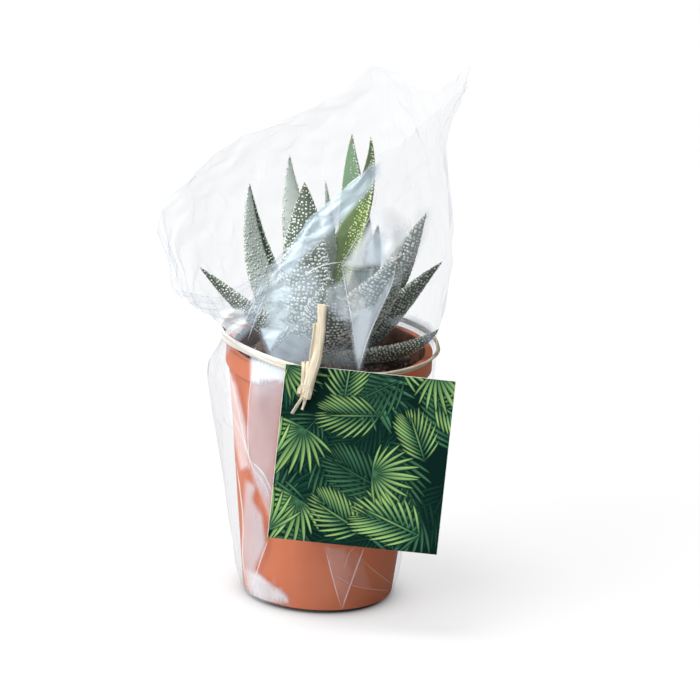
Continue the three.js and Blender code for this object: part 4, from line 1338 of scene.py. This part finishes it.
def make_raffia():
    face = CARD_THICKNESS / 2 + 0.8
    over = CARD_HOLE_FROM_TOP + 0.8
    strands = [make_hoop_strand(seed, *strand) for seed, strand in enumerate(HOOP_STRANDS)]
    through = [on_hoop(HOOP_FRONT, -0.4), *on_card((0, 0.4, -1), (0, 0, 0), (0, -0.2, face))]
    bight = on_card(
        (0.3, -0.6, face), (0.6, 3.6, face + 0.1), (0.8, over - 0.5, face), (0.8, over + 0.45, 0),
        (0.7, over - 0.8, -1.6),
    )
    thin_bight = on_card(
        (-0.9, -0.6, face + 0.2), (-0.8, 3.4, face + 0.15), (-0.7, over - 0.4, face), (-0.9, over + 0.4, 0.1),
        (-0.7, over - 0.8, -1.5),
    )
    tall_end = on_card(
        (0.3, -1.6, face + 0.6), (1.7, 5.8, face + 1.1), (3.2, 12.5, face + 1.2), (3.7, 18.5, face + 1.9),
        (3.7, 26.9, face + 2.6),
    )
    short_end = on_card((-0.3, -1.2, face + 0.3), (1.6, 10, face + 0.7), (2.3, 21, face + 1.2))
    left_tail = on_card((0.4, 0.6, face + 0.9), (-1.2, -2.2, face + 0.5), (-3.4, -6.4, face))
    low_tail = on_card((0.4, 0.9, face + 0.4), (0.1, -2.6, face + 0.6), (-0.5, -5.0, face + 0.2))
    knot = on_card(*(
        (1.6 * math.cos(a), 0.3 + 1.9 * math.sin(a), face + 0.75 + 0.35 * math.sin(2 * a))
        for a in np.linspace(-2.2, 3.4, 12)
    ))
    strands += [
        make_strand(through, 1.9, 0.9, 2, facing=(1, 0, 0)),
        make_strand([*bight, on_hoop(HOOP_FRONT + 0.02, 0)], 1.8, 0.8, 3),
        make_strand([*thin_bight, on_hoop(HOOP_FRONT - 0.03, 0.3)], 1.1, 0.7, 9),
        make_strand(tall_end, 2.9, 1.0, 4, twist=0.06),
        make_strand(short_end, 1.8, 0.8, 5, twist=-0.05),
        make_strand(left_tail, 1.0, 0.6, 6, twist=0.1),
        make_strand(low_tail, 0.9, 0.6, 7, twist=-0.1),
        make_strand(knot, 1.3, 0.9, 8),
    ]
    straw = raffia_straw()
    for strand in strands:
        outward_normals(strand)
        strand.data.materials.append(straw)
    tie = join(strands)
    smooth(tie, 50)
    return finish_piece(tie, "raffia_strands", "raffia", "raffia_tie")


# ---- stem ----
def dress_stem():
    made, tree, shader = material("stem_skin", Roughness=0.6)
    green = noise_at(tree, 300, 3)
    paint(tree, shader, ramp(tree, green, (0.3, (0.16, 0.2, 0.08)), (0.7, (0.26, 0.30, 0.14))))
    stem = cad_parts["stem"]
    stem.data.materials.clear()
    stem.data.materials.append(made)


# ---- camera, light and floor, in metres ----
# place, width, power
LIGHTS = {
    "key": ((-0.9, -0.5, 2.9), 1.3, 64),
    "side": ((-2.1, -1.9, 1.5), 1.8, 46),
    "rim": ((-0.6, 1.8, 1.8), 0.8, 4),
}
# along each of the world's axes: two places from -1 to 1, and the strength of its light there
WORLD_LIGHT = {"X": (-0.8, 0.45, 1.32, 0.05), "Y": (-0.8, 0.8, 1.2, 0.85), "Z": (0.0, 0.9, 0.55, 1.15)}
WORLD_SEEN = 1.05  # the least strength that the camera sees
FLOOR_RADIUS = 4
FLOOR_DROP = 0.0002
FLOOR_GLOW = (0.28, 0.70)  # its light on the object, and what the camera sees of it
FLOOR_SHADED = 0.0202  # the radius within which the pot's foot keeps the light off
FLOOR_SHADE_POWER = 7.0


def make_camera():
    camera = add_object("camera", bpy.data.cameras.new("camera"))
    camera.location = VIEW_TARGET + VIEW_BACK * VIEW_DISTANCE
    camera.rotation_mode = "QUATERNION"
    camera.rotation_quaternion = (-VIEW_BACK).to_track_quat("-Z", "Y") @ Quaternion((0, 0, 1), VIEW_LEAN)
    camera.data.sensor_width = SENSOR_WIDTH
    camera.data.lens = SENSOR_WIDTH * PIXELS_PER_METRE * VIEW_DISTANCE / PICTURE_SIZE
    bpy.context.scene.camera = camera


def make_light(name, place, size, power):
    light = bpy.data.lights.new(name, "AREA")
    light.shape, light.size, light.energy = "DISK", size, power
    lamp = add_object(name, light)
    lamp.location = place
    lamp.rotation_mode = "QUATERNION"
    lamp.rotation_quaternion = (VIEW_TARGET - Vector(place)).to_track_quat("-Z", "Y")


def make_world():
    """Brighter from the left, the front and above, and white wherever the camera sees it."""
    world = bpy.data.worlds.new("studio")
    bpy.context.scene.world = world
    world.use_nodes = True
    tree = world.node_tree
    background = tree.nodes["Background"]
    background.inputs["Color"].default_value = (1, 1, 1, 1)
    way = node(tree, "SeparateXYZ", Vector=node(tree, "TexCoord").outputs["Generated"]).outputs
    side, front, upper = (remap(tree, way[axis], *ends) for axis, ends in WORLD_LIGHT.items())
    glow = times(tree, times(tree, side, upper), front)
    seen = node(tree, "LightPath").outputs["Is Camera Ray"]
    strength = maths(tree, "MAXIMUM", times(tree, seen, WORLD_SEEN), glow)
    tree.links.new(strength, background.inputs["Strength"])


def make_floor():
    deselect()
    bpy.ops.mesh.primitive_circle_add(
        vertices=96, radius=FLOOR_RADIUS, fill_type="NGON", location=(0, 0, -FLOOR_DROP)
    )
    floor = bpy.context.object
    floor.name = "floor"
    paper, tree, shader = material("floor_paper", Roughness=0.9, Specular_IOR_Level=0.1)
    shader.inputs["Emission Color"].default_value = (1, 1, 1, 1)
    glow = remap(tree, node(tree, "LightPath").outputs["Is Camera Ray"], 0, 1, *FLOOR_GLOW)
    place = node(tree, "TexCoord").outputs["Object"]
    away = node(tree, "VectorMath", {"operation": "LENGTH"}, Vector=place).outputs["Value"]
    # Painted shadow: the floor's glow fades close round the pot's foot.
    near = maths(tree, "POWER", maths(tree, "DIVIDE", FLOOR_SHADED, away), FLOOR_SHADE_POWER)
    glow = times(tree, glow, maths(tree, "SUBTRACT", 1.0, near, True))
    tree.links.new(glow, shader.inputs["Emission Strength"])
    grain = noise_at(tree, 8)
    paint(tree, shader, ramp(tree, grain, (0.3, (0.240, 0.240, 0.241)), (0.7, (0.244, 0.244, 0.245))))
    floor.data.materials.append(paper)


def make_studio():
    make_world()
    for name, light in LIGHTS.items():
        make_light(name, *light)
    make_floor()
    scene = bpy.context.scene
    scene.view_settings.view_transform = "Standard"
    scene.cycles.transparent_max_bounces = 32


make_camera()
make_studio()
make_pot()
make_soil()
dress_stem()
make_leaves()
film_sheet = make_film()
make_film_creases(film_sheet)
finish_film(film_sheet)
make_card()
make_raffia()
